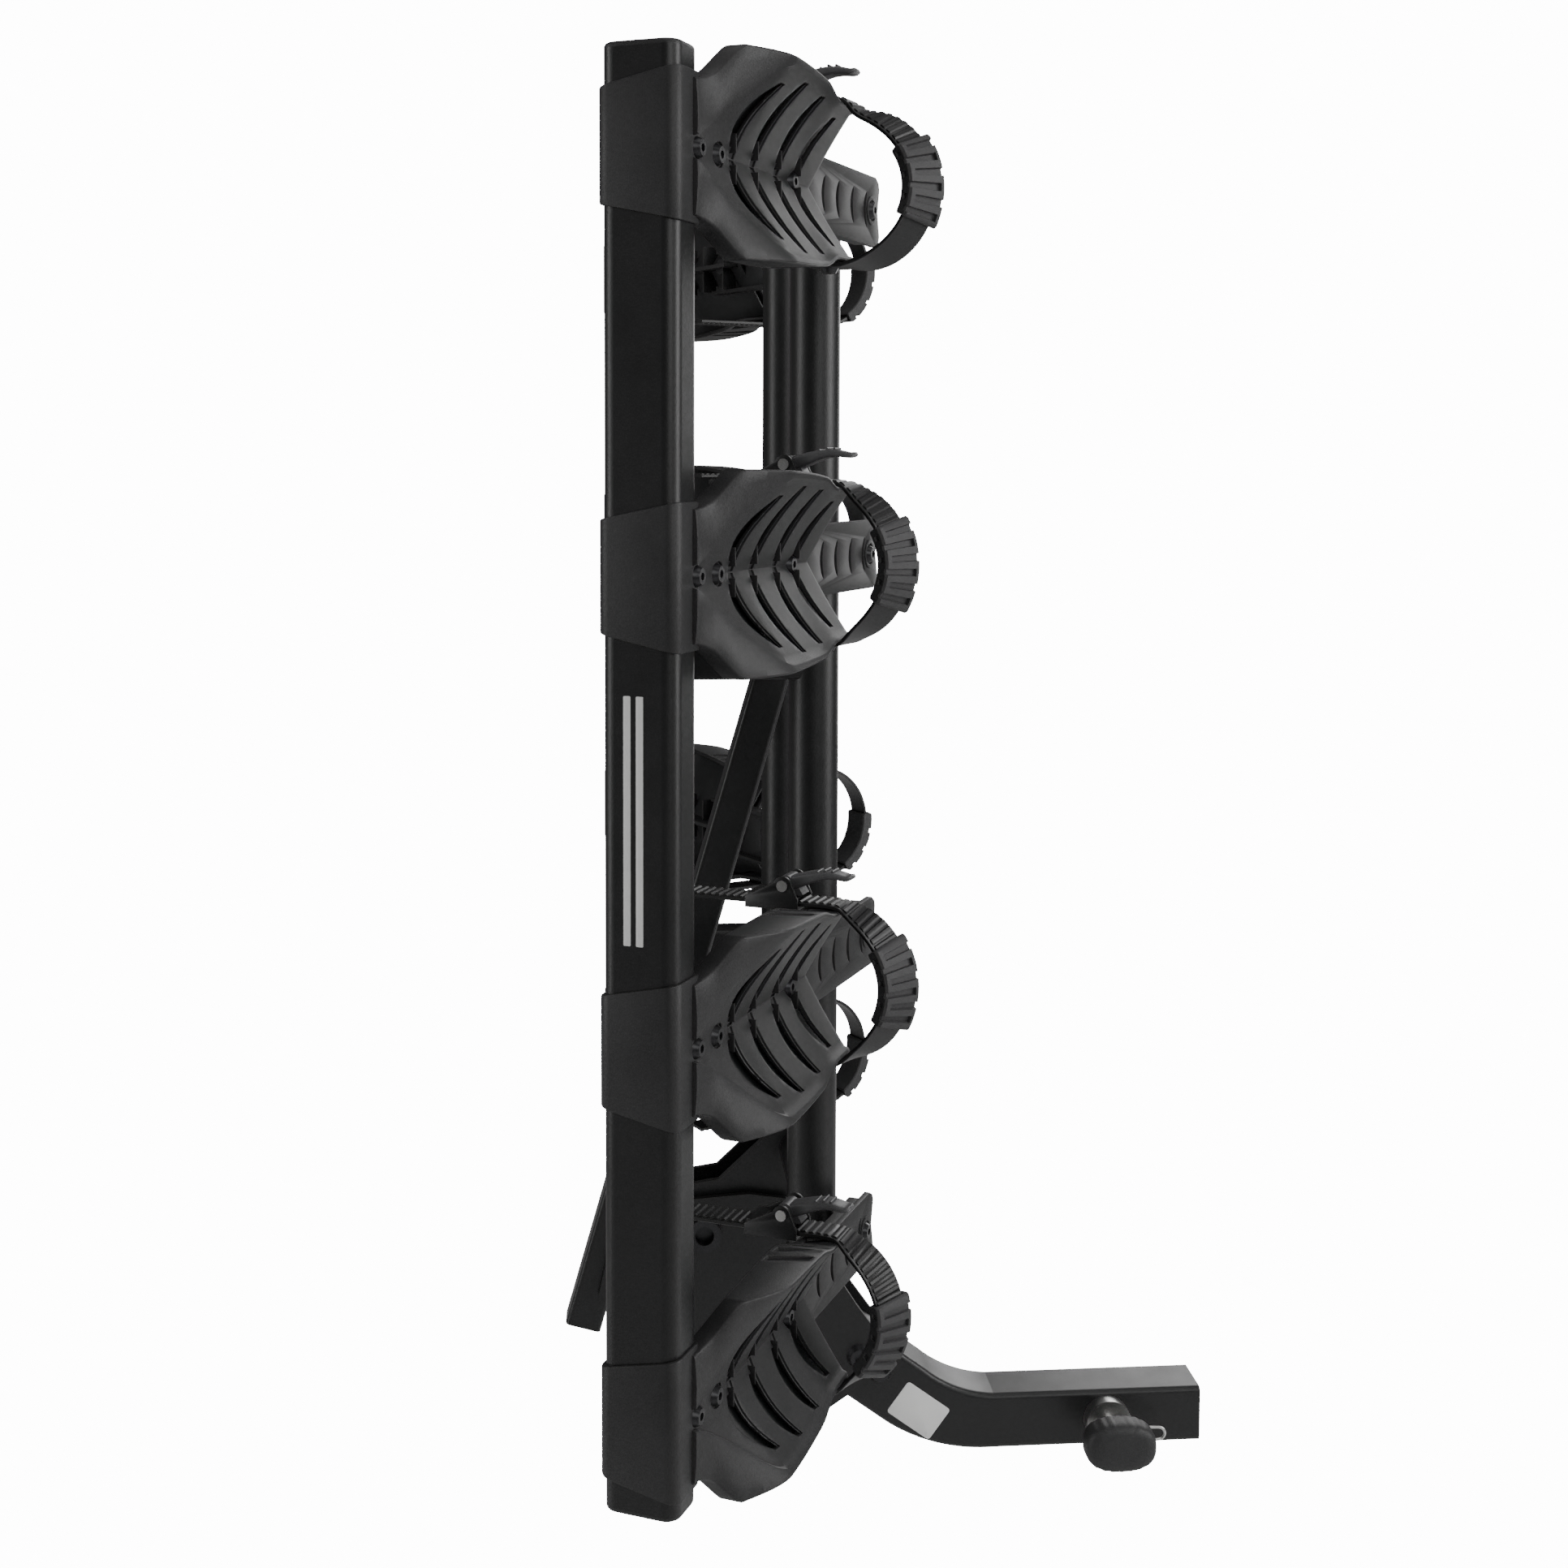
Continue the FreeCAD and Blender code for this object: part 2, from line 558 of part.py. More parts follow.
def faceted(sections):
    """A closed solid of flat faces through sections with the same number of corners."""
    count = len(sections[0])
    faces = [Part.Face(Part.makePolygon(ring + ring[:1])) for ring in (sections[0], sections[-1])]
    for low, high in zip(sections, sections[1:]):
        for i in range(count):
            j = (i + 1) % count
            for corners in ((low[i], low[j], high[j]), (low[i], high[j], high[i])):
                faces.append(Part.Face(Part.makePolygon(list(corners) + [corners[0]])))
    shell = Part.makeShell(faces)
    shell.sewShape()
    solid = Part.makeSolid(shell)
    if solid.Volume < 0:
        solid.reverse()
    return solid


TRAY_BOLTS = (11.0, TONGUE_BOLT_S)


def rail_in_tray(gap):
    return Part.makeCylinder(RAIL_D / 2 + gap, 200, Vec(TONGUE_BOLT_S, -100, RAIL_N), Y_AXIS)


def make_holder():
    """One wheel tray in its own frame: clamp sleeve, two wings and the long tongue."""
    wings = faceted([wing_section(*station) for station in WING])
    for low, high in SLOTS:
        for sign in (-1, 1):
            run = [(low, 7), (high, 47), (high + SLOT_W, 47), (low + SLOT_W, 7)]
            wire = Part.makePolygon([Vec(s, sign * t, 20) for s, t in run + run[:1]])
            wings = wings.cut(Part.Face(wire).extrude(Vec(0, 0, 70)))
    corners = [(-SLEEVE_NARROW, -FLOOR_N), (SLEEVE_NARROW, -FLOOR_N),
               (SLEEVE_WIDE, FLOOR_N), (-SLEEVE_WIDE, FLOOR_N)]
    shape = Part.makePolygon([Vec(-SLEEVE_S, t, n) for t, n in corners + corners[:1]])
    sleeve = Part.Face(shape).extrude(Vec(2 * SLEEVE_S, 0, 0))
    edges = [e for e in sleeve.Edges if abs(e.Vertexes[0].Point.z - e.Vertexes[-1].Point.z) < 1e-6
             and abs(e.Vertexes[0].Point.x - e.Vertexes[-1].Point.x) < 1e-6]
    sleeve = sleeve.makeFillet(9.0, edges)
    tip = TONGUE_END
    outline = [(150, -TONGUE_HALF), (tip - 8, -TONGUE_HALF - 1), (tip, -TONGUE_HALF + 7),
               (tip - 4, 0), (tip, TONGUE_HALF - 7), (tip - 8, TONGUE_HALF + 1), (150, TONGUE_HALF)]
    wire = Part.makePolygon([Vec(s, t, FLOOR_N - SHELL) for s, t in outline + outline[:1]])
    tongue = Part.Face(wire).extrude(Vec(0, 0, SHELL))
    for s in TONGUE_SLOTS:
        slot = Part.makeBox(5.0, 26.0, 20.0, Vec(s, -13.0, FLOOR_N - 10))
        tongue = tongue.cut(slot)
    ribs = [Part.makeBox(tip - 160, 3.0, 14.0, Vec(150, t - 1.5, FLOOR_N - SHELL - 12)) for t in (-22, 22)]
    keel = Part.makeBox(128, 4.0, 24.0, Vec(20, -2, FLOOR_N - SHELL - 22))
    bosses = [Part.makeCylinder(8.0, 15.0, Vec(s, 0, FLOOR_N - SHELL - 13.0)) for s in BLIND_BOLTS]
    whole = join([wings, sleeve, tongue, keel] + ribs + bosses)
    beam = Part.Face(rounded_wire(BEAM_W, BEAM_D, BEAM_CORNER)).extrude(Vec(0, 0, 140))
    beam = placed(beam, Vec(0, -70, 0), X_AXIS, Vec(0, 0, -1))
    whole = whole.cut(beam)
    for s in TRAY_BOLTS:
        whole = whole.cut(Part.makeCylinder(4.2, 60, Vec(s, 0, 0)))
    for s in BLIND_BOLTS:
        whole = whole.cut(Part.makeCylinder(4.2, 60, Vec(s, 0, FLOOR_N - 14.5)))
    for s in TRAY_BOLTS + BLIND_BOLTS:
        whole = whole.cut(Part.makeCylinder(8.3, 12, Vec(s, 0, FLOOR_N)))
    for sign in (-1, 1):
        hole = Part.makeCylinder(4.2, 12, Vec(STRAP_S, sign * 50, ANCHOR_N), Vec(0, sign, 0))
        whole = whole.cut(hole)
    whole = whole.cut(rail_in_tray(1.0))
    assert len(whole.Solids) == 1
    return whole.Solids[0]


def make_tray_bolts():
    """Button head bolts along one tray's valley: at the beam, in the two bosses and at the rail."""
    lengths = [(TRAY_BOLTS[0], FLOOR_N - BEAM_D / 2), (TRAY_BOLTS[1], FLOOR_N - (RAIL_N + RAIL_D / 2))]
    lengths += [(s, 14.0) for s in BLIND_BOLTS]
    screws = []
    for s, length in lengths:
        screw = bolt(4.0, length, 7.5, 4.0)
        screw.translate(Vec(s, 0, FLOOR_N))
        screws.append(screw)
    return screws


def make_spacer():
    """Spacer between a tray's tongue and the rail."""
    low = RAIL_N
    spacer = Part.makeCylinder(11.0, FLOOR_N - SHELL - low, Vec(TONGUE_BOLT_S, 0, low))
    return spacer.cut(rail_in_tray(0.0)).cut(Part.makeCylinder(4.0, 80, Vec(TONGUE_BOLT_S, 0, -20)))


# ---------------------------------------------------------------- straps
def arc_block(s0, s1, r0, r1, a0, a1, centre_n):
    """A block curved about the strap loop's centre; angles from the loop's top towards +t."""
    start = math.radians(a0)
    corners = [(s0, r0), (s1, r0), (s1, r1), (s0, r1), (s0, r0)]
    wire = Part.makePolygon([Vec(s, r * math.sin(start), centre_n + r * math.cos(start)) for s, r in corners])
    return Part.Face(wire).revolve(Vec(0, 0, centre_n), X_AXIS, -(a1 - a0))


def make_strap(centre_n, tail):
    """Strap loop: anchor leg on the -t wing, half turn over the wheel, buckle leg and tail."""
    s0, s1 = STRAP_S - STRAP_W / 2, STRAP_S + STRAP_W / 2
    r0, r1 = LOOP_R, LOOP_R + STRAP_T
    loop = arc_block(s0, s1, r0, r1, -90, 90, centre_n)
    anchor = Part.makeBox(STRAP_W, STRAP_T, centre_n - 38.0, Vec(s0, -r1, 38.0))
    anchor = anchor.cut(Part.makeCylinder(4.0, 10, Vec(STRAP_S, -r1 - 3, ANCHOR_N), Y_AXIS))
    leg = Part.makeBox(STRAP_W, STRAP_T, centre_n + tail, Vec(s0, r0, -tail))
    return join([loop, anchor, leg])


def make_anchor_bolt():
    """Bolt that holds the strap's anchor leg on the rim wall."""
    screw = bolt(4.0, STRAP_T + RIM_WALL - 0.5, 7.0, 3.5)
    return placed(screw, Vec(STRAP_S, -LOOP_R - STRAP_T, ANCHOR_N), X_AXIS, Vec(0, 0, 1))


def make_pad(centre_n, angle):
    """Rubber pad that slides on the strap loop."""
    half = PAD_W / 2
    slot = STRAP_W / 2 + PAD_GAP
    a0, a1 = angle - PAD_HALF_ANGLE, angle + PAD_HALF_ANGLE
    outer = arc_block(STRAP_S - half, STRAP_S + half, LOOP_R - 3.5, LOOP_R + STRAP_T + 5.0, a0, a1, centre_n)
    inner = arc_block(STRAP_S - slot, STRAP_S + slot, LOOP_R - PAD_GAP, LOOP_R + STRAP_T + PAD_GAP,
                      a0 - 2, a1 + 2, centre_n)
    return outer.cut(inner)


def make_buckle_base(rivet_n):
    """Channel of the buckle: a floor behind the strap leg and two cheeks for the rivet."""
    s0 = STRAP_S - STRAP_W / 2 - 0.4
    s1 = STRAP_S + STRAP_W / 2 + 0.4
    low, high = rivet_n - 30.0, rivet_n + 12.0
    floor = Part.makeBox(s1 - s0, 3.0, high - low, Vec(s0, LOOP_R - 3.0, low))
    cheeks = []
    for s in (s0 - 2.5, s1):
        points = [(LOOP_R - 3.0, low), (LOOP_R + 6, low), (RIVET_T + 7, rivet_n - 7),
                  (RIVET_T + 7, rivet_n + 7), (LOOP_R + 6, high), (LOOP_R - 3.0, high)]
        wire = Part.makePolygon([Vec(s, t, n) for t, n in points + points[:1]])
        cheeks.append(Part.Face(wire).extrude(Vec(2.5, 0, 0)))
    base = join([floor] + cheeks)
    return base.cut(Part.makeCylinder(2.5, 60, Vec(STRAP_S - 30, RIVET_T, rivet_n), X_AXIS))


def make_rivet(rivet_n):
    s0 = STRAP_S - STRAP_W / 2 - 2.9
    s1 = STRAP_S + STRAP_W / 2 + 2.9
    axle = Part.makeCylinder(2.5, s1 - s0, Vec(s0, RIVET_T, rivet_n), X_AXIS)
    heads = [Part.makeCylinder(4.2, 1.4, Vec(s, RIVET_T, rivet_n), X_AXIS) for s in (s0 - 1.4, s1)]
    return join([axle] + heads)


def make_lever(rivet_n, angle):
    """Ratchet lever on the rivet; at angle 0 it lies along the strap towards the loop."""
    half = LEVER_W / 2
    points = [(RIVET_T - 5, rivet_n - 6), (RIVET_T + 5, rivet_n - 6), (RIVET_T + 9, rivet_n + 12),
              (RIVET_T + 12, rivet_n + 26), (RIVET_T + 10, rivet_n + LEVER_LENGTH),
              (RIVET_T + 5, rivet_n + LEVER_LENGTH + 2), (RIVET_T + 2, rivet_n + 26),
              (RIVET_T - 5, rivet_n + 8)]
    wire = Part.makePolygon([Vec(STRAP_S - half, t, n) for t, n in points + points[:1]])
    lever = Part.Face(wire).extrude(Vec(LEVER_W, 0, 0))
    lever = lever.cut(Part.makeCylinder(2.56, 60, Vec(STRAP_S - 30, RIVET_T, rivet_n), X_AXIS))
    lever.rotate(Vec(0, RIVET_T, rivet_n), X_AXIS, -angle)
    return lever


# ---------------------------------------------------------------- build
os.makedirs("parts", exist_ok=True)

save("receiver_shank", make_shank())
save("bracket_plate_near", make_bracket(-1))
save("bracket_plate_far", make_bracket(1))
save("bracket_bolts", make_bracket_bolts())
save("fold_stop", make_fold_stop())
save("pivot_bolt", make_pivot_bolt())
save("hitch_pin", make_hitch_pin())
save("hitch_pin_knob", make_hitch_knob())
save("hitch_pin_clip", make_hitch_clip())
save("lock_pin", make_lock_pin())
save("lock_housing", make_lock_housing())

save("side_beam_near", make_beam(-1))
save("side_beam_far", make_beam(1))
save("beam_end_caps", make_beam_caps())
save("rail_near", make_rail(-1))
save("rail_far", make_rail(1))
save("rail_end_caps", make_rail_caps())
save("cross_tubes", make_cross_tubes())
save("riser_posts", make_risers())
save("strut", make_strut())
save("strut_end_cap", make_strut_cap())
save("rail_cross_bar", make_top_bar())
save("pivot_yoke", make_yoke())
save("pivot_bushes", make_bushes())

holder = make_holder()
tray_bolts = make_tray_bolts()
spacer = make_spacer()
bolts, spacers, bases, rivets = [], [], [], []
for side, number, buckle_side, centre_n, pad_angle, rivet_n, lever_angle, tail in LOOPS:
    z = HOLDER_ZS[number - 1]
    tag = "_" + side + "_" + str(number)
    save("wheel_holder" + tag, to_tray(holder, side, z))
    strap = flip(make_strap(centre_n, tail), buckle_side)
    save("ladder_strap" + tag, to_tray(strap, side, z))
    save("strap_pad" + tag, to_tray(flip(make_pad(centre_n, pad_angle), buckle_side), side, z))
    save("buckle_lever" + tag, to_tray(flip(make_lever(rivet_n, lever_angle), buckle_side), side, z))
    bolts += [to_tray(b, side, z) for b in tray_bolts]
    bolts.append(to_tray(flip(make_anchor_bolt(), buckle_side), side, z))
    spacers.append(to_tray(spacer, side, z))
    bases.append(to_tray(flip(make_buckle_base(rivet_n), buckle_side), side, z))
    rivets.append(to_tray(flip(make_rivet(rivet_n), buckle_side), side, z))
save("holder_bolts", Part.makeCompound(bolts))
save("tongue_spacers", Part.makeCompound(spacers))
save("buckle_bases", Part.makeCompound(bases))
save("buckle_rivets", Part.makeCompound(rivets))
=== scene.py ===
import json
import math

import bmesh
import bpy
from mathutils import Matrix, Vector


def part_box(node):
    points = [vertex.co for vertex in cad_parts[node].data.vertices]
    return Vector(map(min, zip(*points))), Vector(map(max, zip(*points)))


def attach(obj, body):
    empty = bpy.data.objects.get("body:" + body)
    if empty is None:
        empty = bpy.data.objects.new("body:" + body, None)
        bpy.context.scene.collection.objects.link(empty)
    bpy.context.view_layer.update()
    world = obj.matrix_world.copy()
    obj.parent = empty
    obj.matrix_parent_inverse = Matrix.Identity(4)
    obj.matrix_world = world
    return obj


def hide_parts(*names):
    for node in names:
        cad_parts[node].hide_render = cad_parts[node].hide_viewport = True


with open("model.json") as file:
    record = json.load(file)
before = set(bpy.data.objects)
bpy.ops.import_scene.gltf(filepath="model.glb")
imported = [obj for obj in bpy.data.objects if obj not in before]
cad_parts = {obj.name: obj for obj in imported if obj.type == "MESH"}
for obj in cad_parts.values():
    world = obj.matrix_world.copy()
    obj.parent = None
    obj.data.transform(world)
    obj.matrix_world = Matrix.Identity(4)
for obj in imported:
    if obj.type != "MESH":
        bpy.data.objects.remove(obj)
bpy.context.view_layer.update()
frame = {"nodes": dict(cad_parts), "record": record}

# ---------------------------------------------------------------- sizes, in millimetres
MM = 0.001
CANT = math.radians(26.0)            # the trays rise inward at this angle
SIDES = ("near", "far")

# wheel tray: s runs along its valley from the beam, t across it, n out of it
FLOOR_N = 29.0                       # the valley line above the beam's centre
SHELL = 5.0                          # thickness of the wings and the tongue
RIM_WALL = 4.0                       # thickness of the walls that hang from the rims
# along the valley: distance, half width, rim height, lower edge of the outer wall, border of the panel
WING = ((4, 44, 31, 16, 7), (22, 49, 36, 21, 15), (40, 70, 52, 36, 28), (85, 69, 71, 34, 62),
        (150, 65, 69, 30, 60), (186, 56.5, 66, 34, 51.5), (217, 56, 65, 42, 51))
WING_STEPS = 66
BORDER_STEP = 3.2                    # step up from the slotted panel to its border
PANEL_BOWL = 1.2                     # how far the panel sags between valley and border
# chevron slots: place at the valley, place at the rim end, reach across
CHEVRONS = ((63.0, 84.0, 52.0), (100.0, 119.0, 58.0), (144.0, 156.0, 55.0), (182.0, 191.0, 46.0))
CHEVRON_BACK = 25.0                  # how far a slot bows back on its way out
POCKET_DEPTH = 1.6                   # shallow recess round each slot
WINDOWS = (116.0, 138.0, 160.0, 182.0)   # starts of the slanted recesses in the rim walls
SLEEVE = (21.0, 29.0, 37.0, 49.0)    # half length, half depth, half height behind, half height in front
BEAM_SECTION = (19.0, 27.0, 10.0)    # half width, half depth, corner
TONGUE = (205.0, 383.0, 27.0)        # start, end, half width
TONGUE_SLOTS = (248.0, 280.0, 314.0, 346.0)
TONGUE_BOLT = 361.0
BOLTS = (11.0, 43.0, 180.0)          # bolt seats along the valley
BACKING_DROP = 9.5                   # floor of the slots below the valley line

# ladder strap, pad and buckle
STRAP_S = 204.0                      # middle of the strap along the valley
STRAP_HALF = 13.0
STRAP_T = 3.0
LOOP_R = 58.0                        # the strap's runs stand this far from the valley line
ANCHOR_LOW = 38.0                    # lower end of the strap, on the wall away from the buckle
SMOOTHING = 70                       # passes that ease the corners of the strap's line
TOOTH_PITCH = 6.0
TOOTH = 1.0
PAD_HALF = 16.0
PAD_T = 5.0                          # rubber outside the strap
PAD_HALF_ANGLE = math.radians(31.0)
PAD_GROOVES = 6
GROOVE_PITCH = 10.4
GROOVE_DEPTH = 2.5
RIVET_T = 73.0
RIVET_BORE = 2.6
# the far loops stand open on a wheel: centre across and out, radius, twist, pad angle, rivet height,
# lever angle, tail length
FAR_LOOP = (0.0, 114.0, 58.0, 0.0, 25.0, 96.0, 30.0, 30.0)
# side, number, buckle side, then the same values
LOOPS = (
    ("near", 1, 1, -5.0, 67.0, 53.0, 34.0, 5.0, 21.0, 0.0, 40.0),
    ("near", 2, 1, 0.0, 47.0, 56.5, 32.0, 0.0, 21.0, 0.0, 40.0),
    ("near", 3, 1, 0.0, 48.0, 57.5, 32.0, 3.0, 21.0, 0.0, 70.0),
    ("near", 4, 1, 0.0, 44.0, 57.5, 32.0, -16.0, 21.0, 0.0, 60.0),
    ("far", 1, 1, *FAR_LOOP),
    ("far", 2, -1, *FAR_LOOP),
    ("far", 3, 1, *FAR_LOOP),
    ("far", 4, 1, *FAR_LOOP),
)

# labels and stage, in metres
NECK_RISE = math.radians(36.0)
BEND_X = -0.149                      # where the shank's axis and the neck's axis cross
STRIPE_Z = 0.642
STRIPE_PLACES = (-7.5, 1.5)          # across the beam, in millimetres
FLOOR_Z = -0.5
GLOW = 14.0                          # brightness of the floor and the surround, seen directly
CAMERA_PLACE = (-0.453, -1.800, 0.877)
CAMERA_YAW, CAMERA_PITCH, CAMERA_ROLL = math.radians(4.94), math.radians(3.40), math.radians(0.20)
CAMERA_LENS, CAMERA_SHIFT = 46.38, -0.13


# ---------------------------------------------------------------- materials
def material(name, colour, roughness, metallic=0.0, spread=0.25, grain=1800.0, bump=0.15,
             mottle=35.0, rough_spread=0.08, depth=0.0004):
    """A procedural finish: colour clouds, fine grain in the bump and uneven roughness."""
    mat = bpy.data.materials.new(name)
    mat.use_nodes = True
    nodes, links = mat.node_tree.nodes, mat.node_tree.links
    shader = nodes["Principled BSDF"]
    shader.inputs["Metallic"].default_value = metallic
    place = nodes.new("ShaderNodeTexCoord")

    clouds = nodes.new("ShaderNodeTexNoise")
    clouds.inputs["Scale"].default_value = mottle
    clouds.inputs["Detail"].default_value = 6.0
    links.new(place.outputs["Object"], clouds.inputs["Vector"])
    fine = nodes.new("ShaderNodeTexNoise")
    fine.inputs["Scale"].default_value = grain
    fine.inputs["Detail"].default_value = 3.0
    links.new(place.outputs["Object"], fine.inputs["Vector"])

    blend = nodes.new("ShaderNodeMath")
    blend.operation = "MULTIPLY_ADD"
    blend.inputs[1].default_value = 0.5
    links.new(fine.outputs["Fac"], blend.inputs[0])
    half = nodes.new("ShaderNodeMath")
    half.operation = "MULTIPLY"
    half.inputs[1].default_value = 0.5
    links.new(clouds.outputs["Fac"], half.inputs[0])
    links.new(half.outputs["Value"], blend.inputs[2])
    ramp = nodes.new("ShaderNodeValToRGB")
    dark = [c * (1.0 - spread) for c in colour]
    light = [c * (1.0 + spread) for c in colour]
    ramp.color_ramp.elements[0].position = 0.35
    ramp.color_ramp.elements[0].color = (*dark, 1.0)
    ramp.color_ramp.elements[1].position = 0.65
    ramp.color_ramp.elements[1].color = (*light, 1.0)
    links.new(blend.outputs["Value"], ramp.inputs["Fac"])
    links.new(ramp.outputs["Color"], shader.inputs["Base Color"])

    rough = nodes.new("ShaderNodeMapRange")
    rough.inputs["To Min"].default_value = roughness - rough_spread
    rough.inputs["To Max"].default_value = roughness + rough_spread
    links.new(clouds.outputs["Fac"], rough.inputs["Value"])
    links.new(rough.outputs["Result"], shader.inputs["Roughness"])

    relief = nodes.new("ShaderNodeBump")
    relief.inputs["Strength"].default_value = bump
    relief.inputs["Distance"].default_value = depth
    links.new(fine.outputs["Fac"], relief.inputs["Height"])
    links.new(relief.outputs["Normal"], shader.inputs["Normal"])
    return mat


def build_materials():
    return {
        "powder_coat": material("powder_coat", (0.0055, 0.0055, 0.0058), 0.4, spread=0.2, grain=1500.0,
                                bump=0.22, rough_spread=0.06),
        "tray_plastic": material("tray_plastic", (0.0135, 0.0135, 0.014), 0.52, spread=0.3, grain=1300.0,
                                 bump=0.35, rough_spread=0.07),
        "strap_plastic": material("strap_plastic", (0.007, 0.007, 0.0073), 0.42, spread=0.2, grain=900.0,
                                  bump=0.1),
        "pad_rubber": material("pad_rubber", (0.042, 0.042, 0.043), 0.62, spread=0.18, grain=1600.0,
                               bump=0.25),
        "black_rubber": material("black_rubber", (0.012, 0.012, 0.012), 0.75, spread=0.2, bump=0.3),
        "black_oxide": material("black_oxide", (0.03, 0.03, 0.032), 0.32, metallic=0.6, spread=0.3,
                                bump=0.1),
        "cap_plastic": material("cap_plastic", (0.014, 0.014, 0.0145), 0.48, spread=0.2, bump=0.25),
        "zinc_steel": material("zinc_steel", (0.55, 0.55, 0.54), 0.3, metallic=1.0, spread=0.15,
                               bump=0.08),
        "lever_metal": material("lever_metal", (0.075, 0.075, 0.077), 0.42, spread=0.18, grain=1400.0,
                                bump=0.15),
        "knob_plastic": material("knob_plastic", (0.018, 0.018, 0.0185), 0.52, spread=0.25, bump=0.35),
        "label_vinyl": material("label_vinyl", (0.72, 0.72, 0.71), 0.5, spread=0.04, bump=0.05),
    }


MATERIALS = build_materials()
NODE_SLOTS = {part["node"]: part["material_slot"] for part in frame["record"]["subparts"]}


# ---------------------------------------------------------------- mesh helpers
def new_object(name, verts, faces, angle=32.0):
    """A mesh object with outward normals, smooth up to an angle."""
    mesh = bpy.data.meshes.new(name)
    mesh.from_pydata([tuple(v) for v in verts], [], faces)
    return finish_object(name, mesh, angle)


def finish_object(name, mesh, angle=32.0):
    work = bmesh.new()
    work.from_mesh(mesh)
    bmesh.ops.remove_doubles(work, verts=work.verts, dist=1e-5)
    bmesh.ops.recalc_face_normals(work, faces=work.faces)
    work.to_mesh(mesh)
    work.free()
    smooth(mesh, angle)
    made = bpy.data.objects.new(name, mesh)
    bpy.context.scene.collection.objects.link(made)
    return made


def smooth(mesh, angle):
    mesh.polygons.foreach_set("use_smooth", [True] * len(mesh.polygons))
    mesh.set_sharp_from_angle(angle=math.radians(angle))


def loft(rings, closed=False):
    """Vertices and faces through closed rings; capped at both ends unless the loft itself closes."""
    count = len(rings[0])
    verts = [p for ring in rings for p in ring]
    faces = []
    last = len(rings) if closed else len(rings) - 1
    for i in range(last):
        k = (i + 1) % len(rings)
        for j in range(count):
            m = (j + 1) % count
            faces.append((i * count + j, i * count + m, k * count + m, k * count + j))
    if not closed:
        faces.append(tuple(range(count))[::-1])
        start = (len(rings) - 1) * count
        faces.append(tuple(range(start, start + count)))
    return verts, faces


def loft_object(name, rings, closed=False, angle=32.0):
    verts, faces = loft(rings, closed)
    return new_object(name, verts, faces, angle)


def rounded_outline(half_u, half_v, corner, steps=6):
    """Points of a rounded rectangle about the origin."""
    points = []
    for k, (cu, cv) in enumerate(((1, 1), (-1, 1), (-1, -1), (1, -1))):
        for i in range(steps + 1):
            a = math.radians(90.0 * (k + i / steps))
            points.append((cu * (half_u - corner) + corner * math.cos(a),
                           cv * (half_v - corner) + corner * math.sin(a)))
    return points


def block(name, lo, hi):
    rings = [[Vector((x, lo[1], lo[2])), Vector((x, hi[1], lo[2])), Vector((x, hi[1], hi[2])),
              Vector((x, lo[1], hi[2]))] for x in (lo[0], hi[0])]
    return loft_object(name, rings)


def extruded(name, outline, axis, start, end):
    """A prism from an outline; axis names the direction it is drawn along."""
    order = {"s": lambda u, v, w: (w, u, v), "t": lambda u, v, w: (u, w, v),
             "n": lambda u, v, w: (u, v, w)}
    rings = [[Vector(order[axis](u, v, w)) for u, v in outline] for w in (start, end)]
    return loft_object(name, rings)


def round_bar(name, start, end, radius, steps=28):
    """A cylinder between two points."""
    line = (end - start).normalized()
    side = line.orthogonal().normalized()
    up = line.cross(side)
    rings = []
    for centre in (start, end):
        rings.append([centre + (side * math.cos(a) + up * math.sin(a)) * radius
                      for a in (2 * math.pi * i / steps for i in range(steps))])
    return loft_object(name, rings)


def upright(name, s, low, high, radius):
    """A cylinder that stands in the valley."""
    return round_bar(name, Vector((s, 0, low)), Vector((s, 0, high)), radius)


def apply_modifiers(piece):
    """Turn a piece's modifiers into its mesh."""
    graph = bpy.context.evaluated_depsgraph_get()
    mesh = bpy.data.meshes.new_from_object(piece.evaluated_get(graph))
    piece.modifiers.clear()
    old = piece.data
    piece.data = mesh
    bpy.data.meshes.remove(old)


def cut(piece, cutters):
    """Take closed shapes away from a piece, and remove them from the scene."""
    tool = joined("cutter", cutters)
    mod = piece.modifiers.new("cut", "BOOLEAN")
    mod.operation = "DIFFERENCE"
    mod.solver = "EXACT"
    mod.use_self = True
    mod.object = tool
    apply_modifiers(piece)
    drop(tool)


def joined(name, parts):
    """One object from several; the parts are removed."""
    work = bmesh.new()
    for part in parts:
        work.from_mesh(part.data)
    mesh = bpy.data.meshes.new(name)
    work.to_mesh(mesh)
    work.free()
    for part in parts:
        drop(part)
    made = bpy.data.objects.new(name, mesh)
    bpy.context.scene.collection.objects.link(made)
    return made


def drop(piece):
    mesh = piece.data
    bpy.data.objects.remove(piece)
    bpy.data.meshes.remove(mesh)


def soften(piece, width, segments=2, angle=40.0):
    """Round the sharp edges of a piece."""
    mod = piece.modifiers.new("bevel", "BEVEL")
    mod.width = width
    mod.segments = segments
    mod.limit_method = "ANGLE"
    mod.angle_limit = math.radians(angle)
    mod.harden_normals = False
    apply_modifiers(piece)
    smooth(piece.data, 38.0)


def copy_to(piece, name, matrix):
    """A copy of a piece, moved by a matrix that is put into its mesh."""
    mesh = piece.data.copy()
    mesh.name = name
    mesh.transform(matrix)
    made = bpy.data.objects.new(name, mesh)
    bpy.context.scene.collection.objects.link(made)
    return made


def dress(piece, slot, body, replaced=()):
    """Give a piece its finish and its body, and hide the CAD nodes that it stands for."""
    piece.data.materials.clear()
    piece.data.materials.append(MATERIALS[slot])
    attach(piece, body)
    if replaced:
        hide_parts(*replaced)


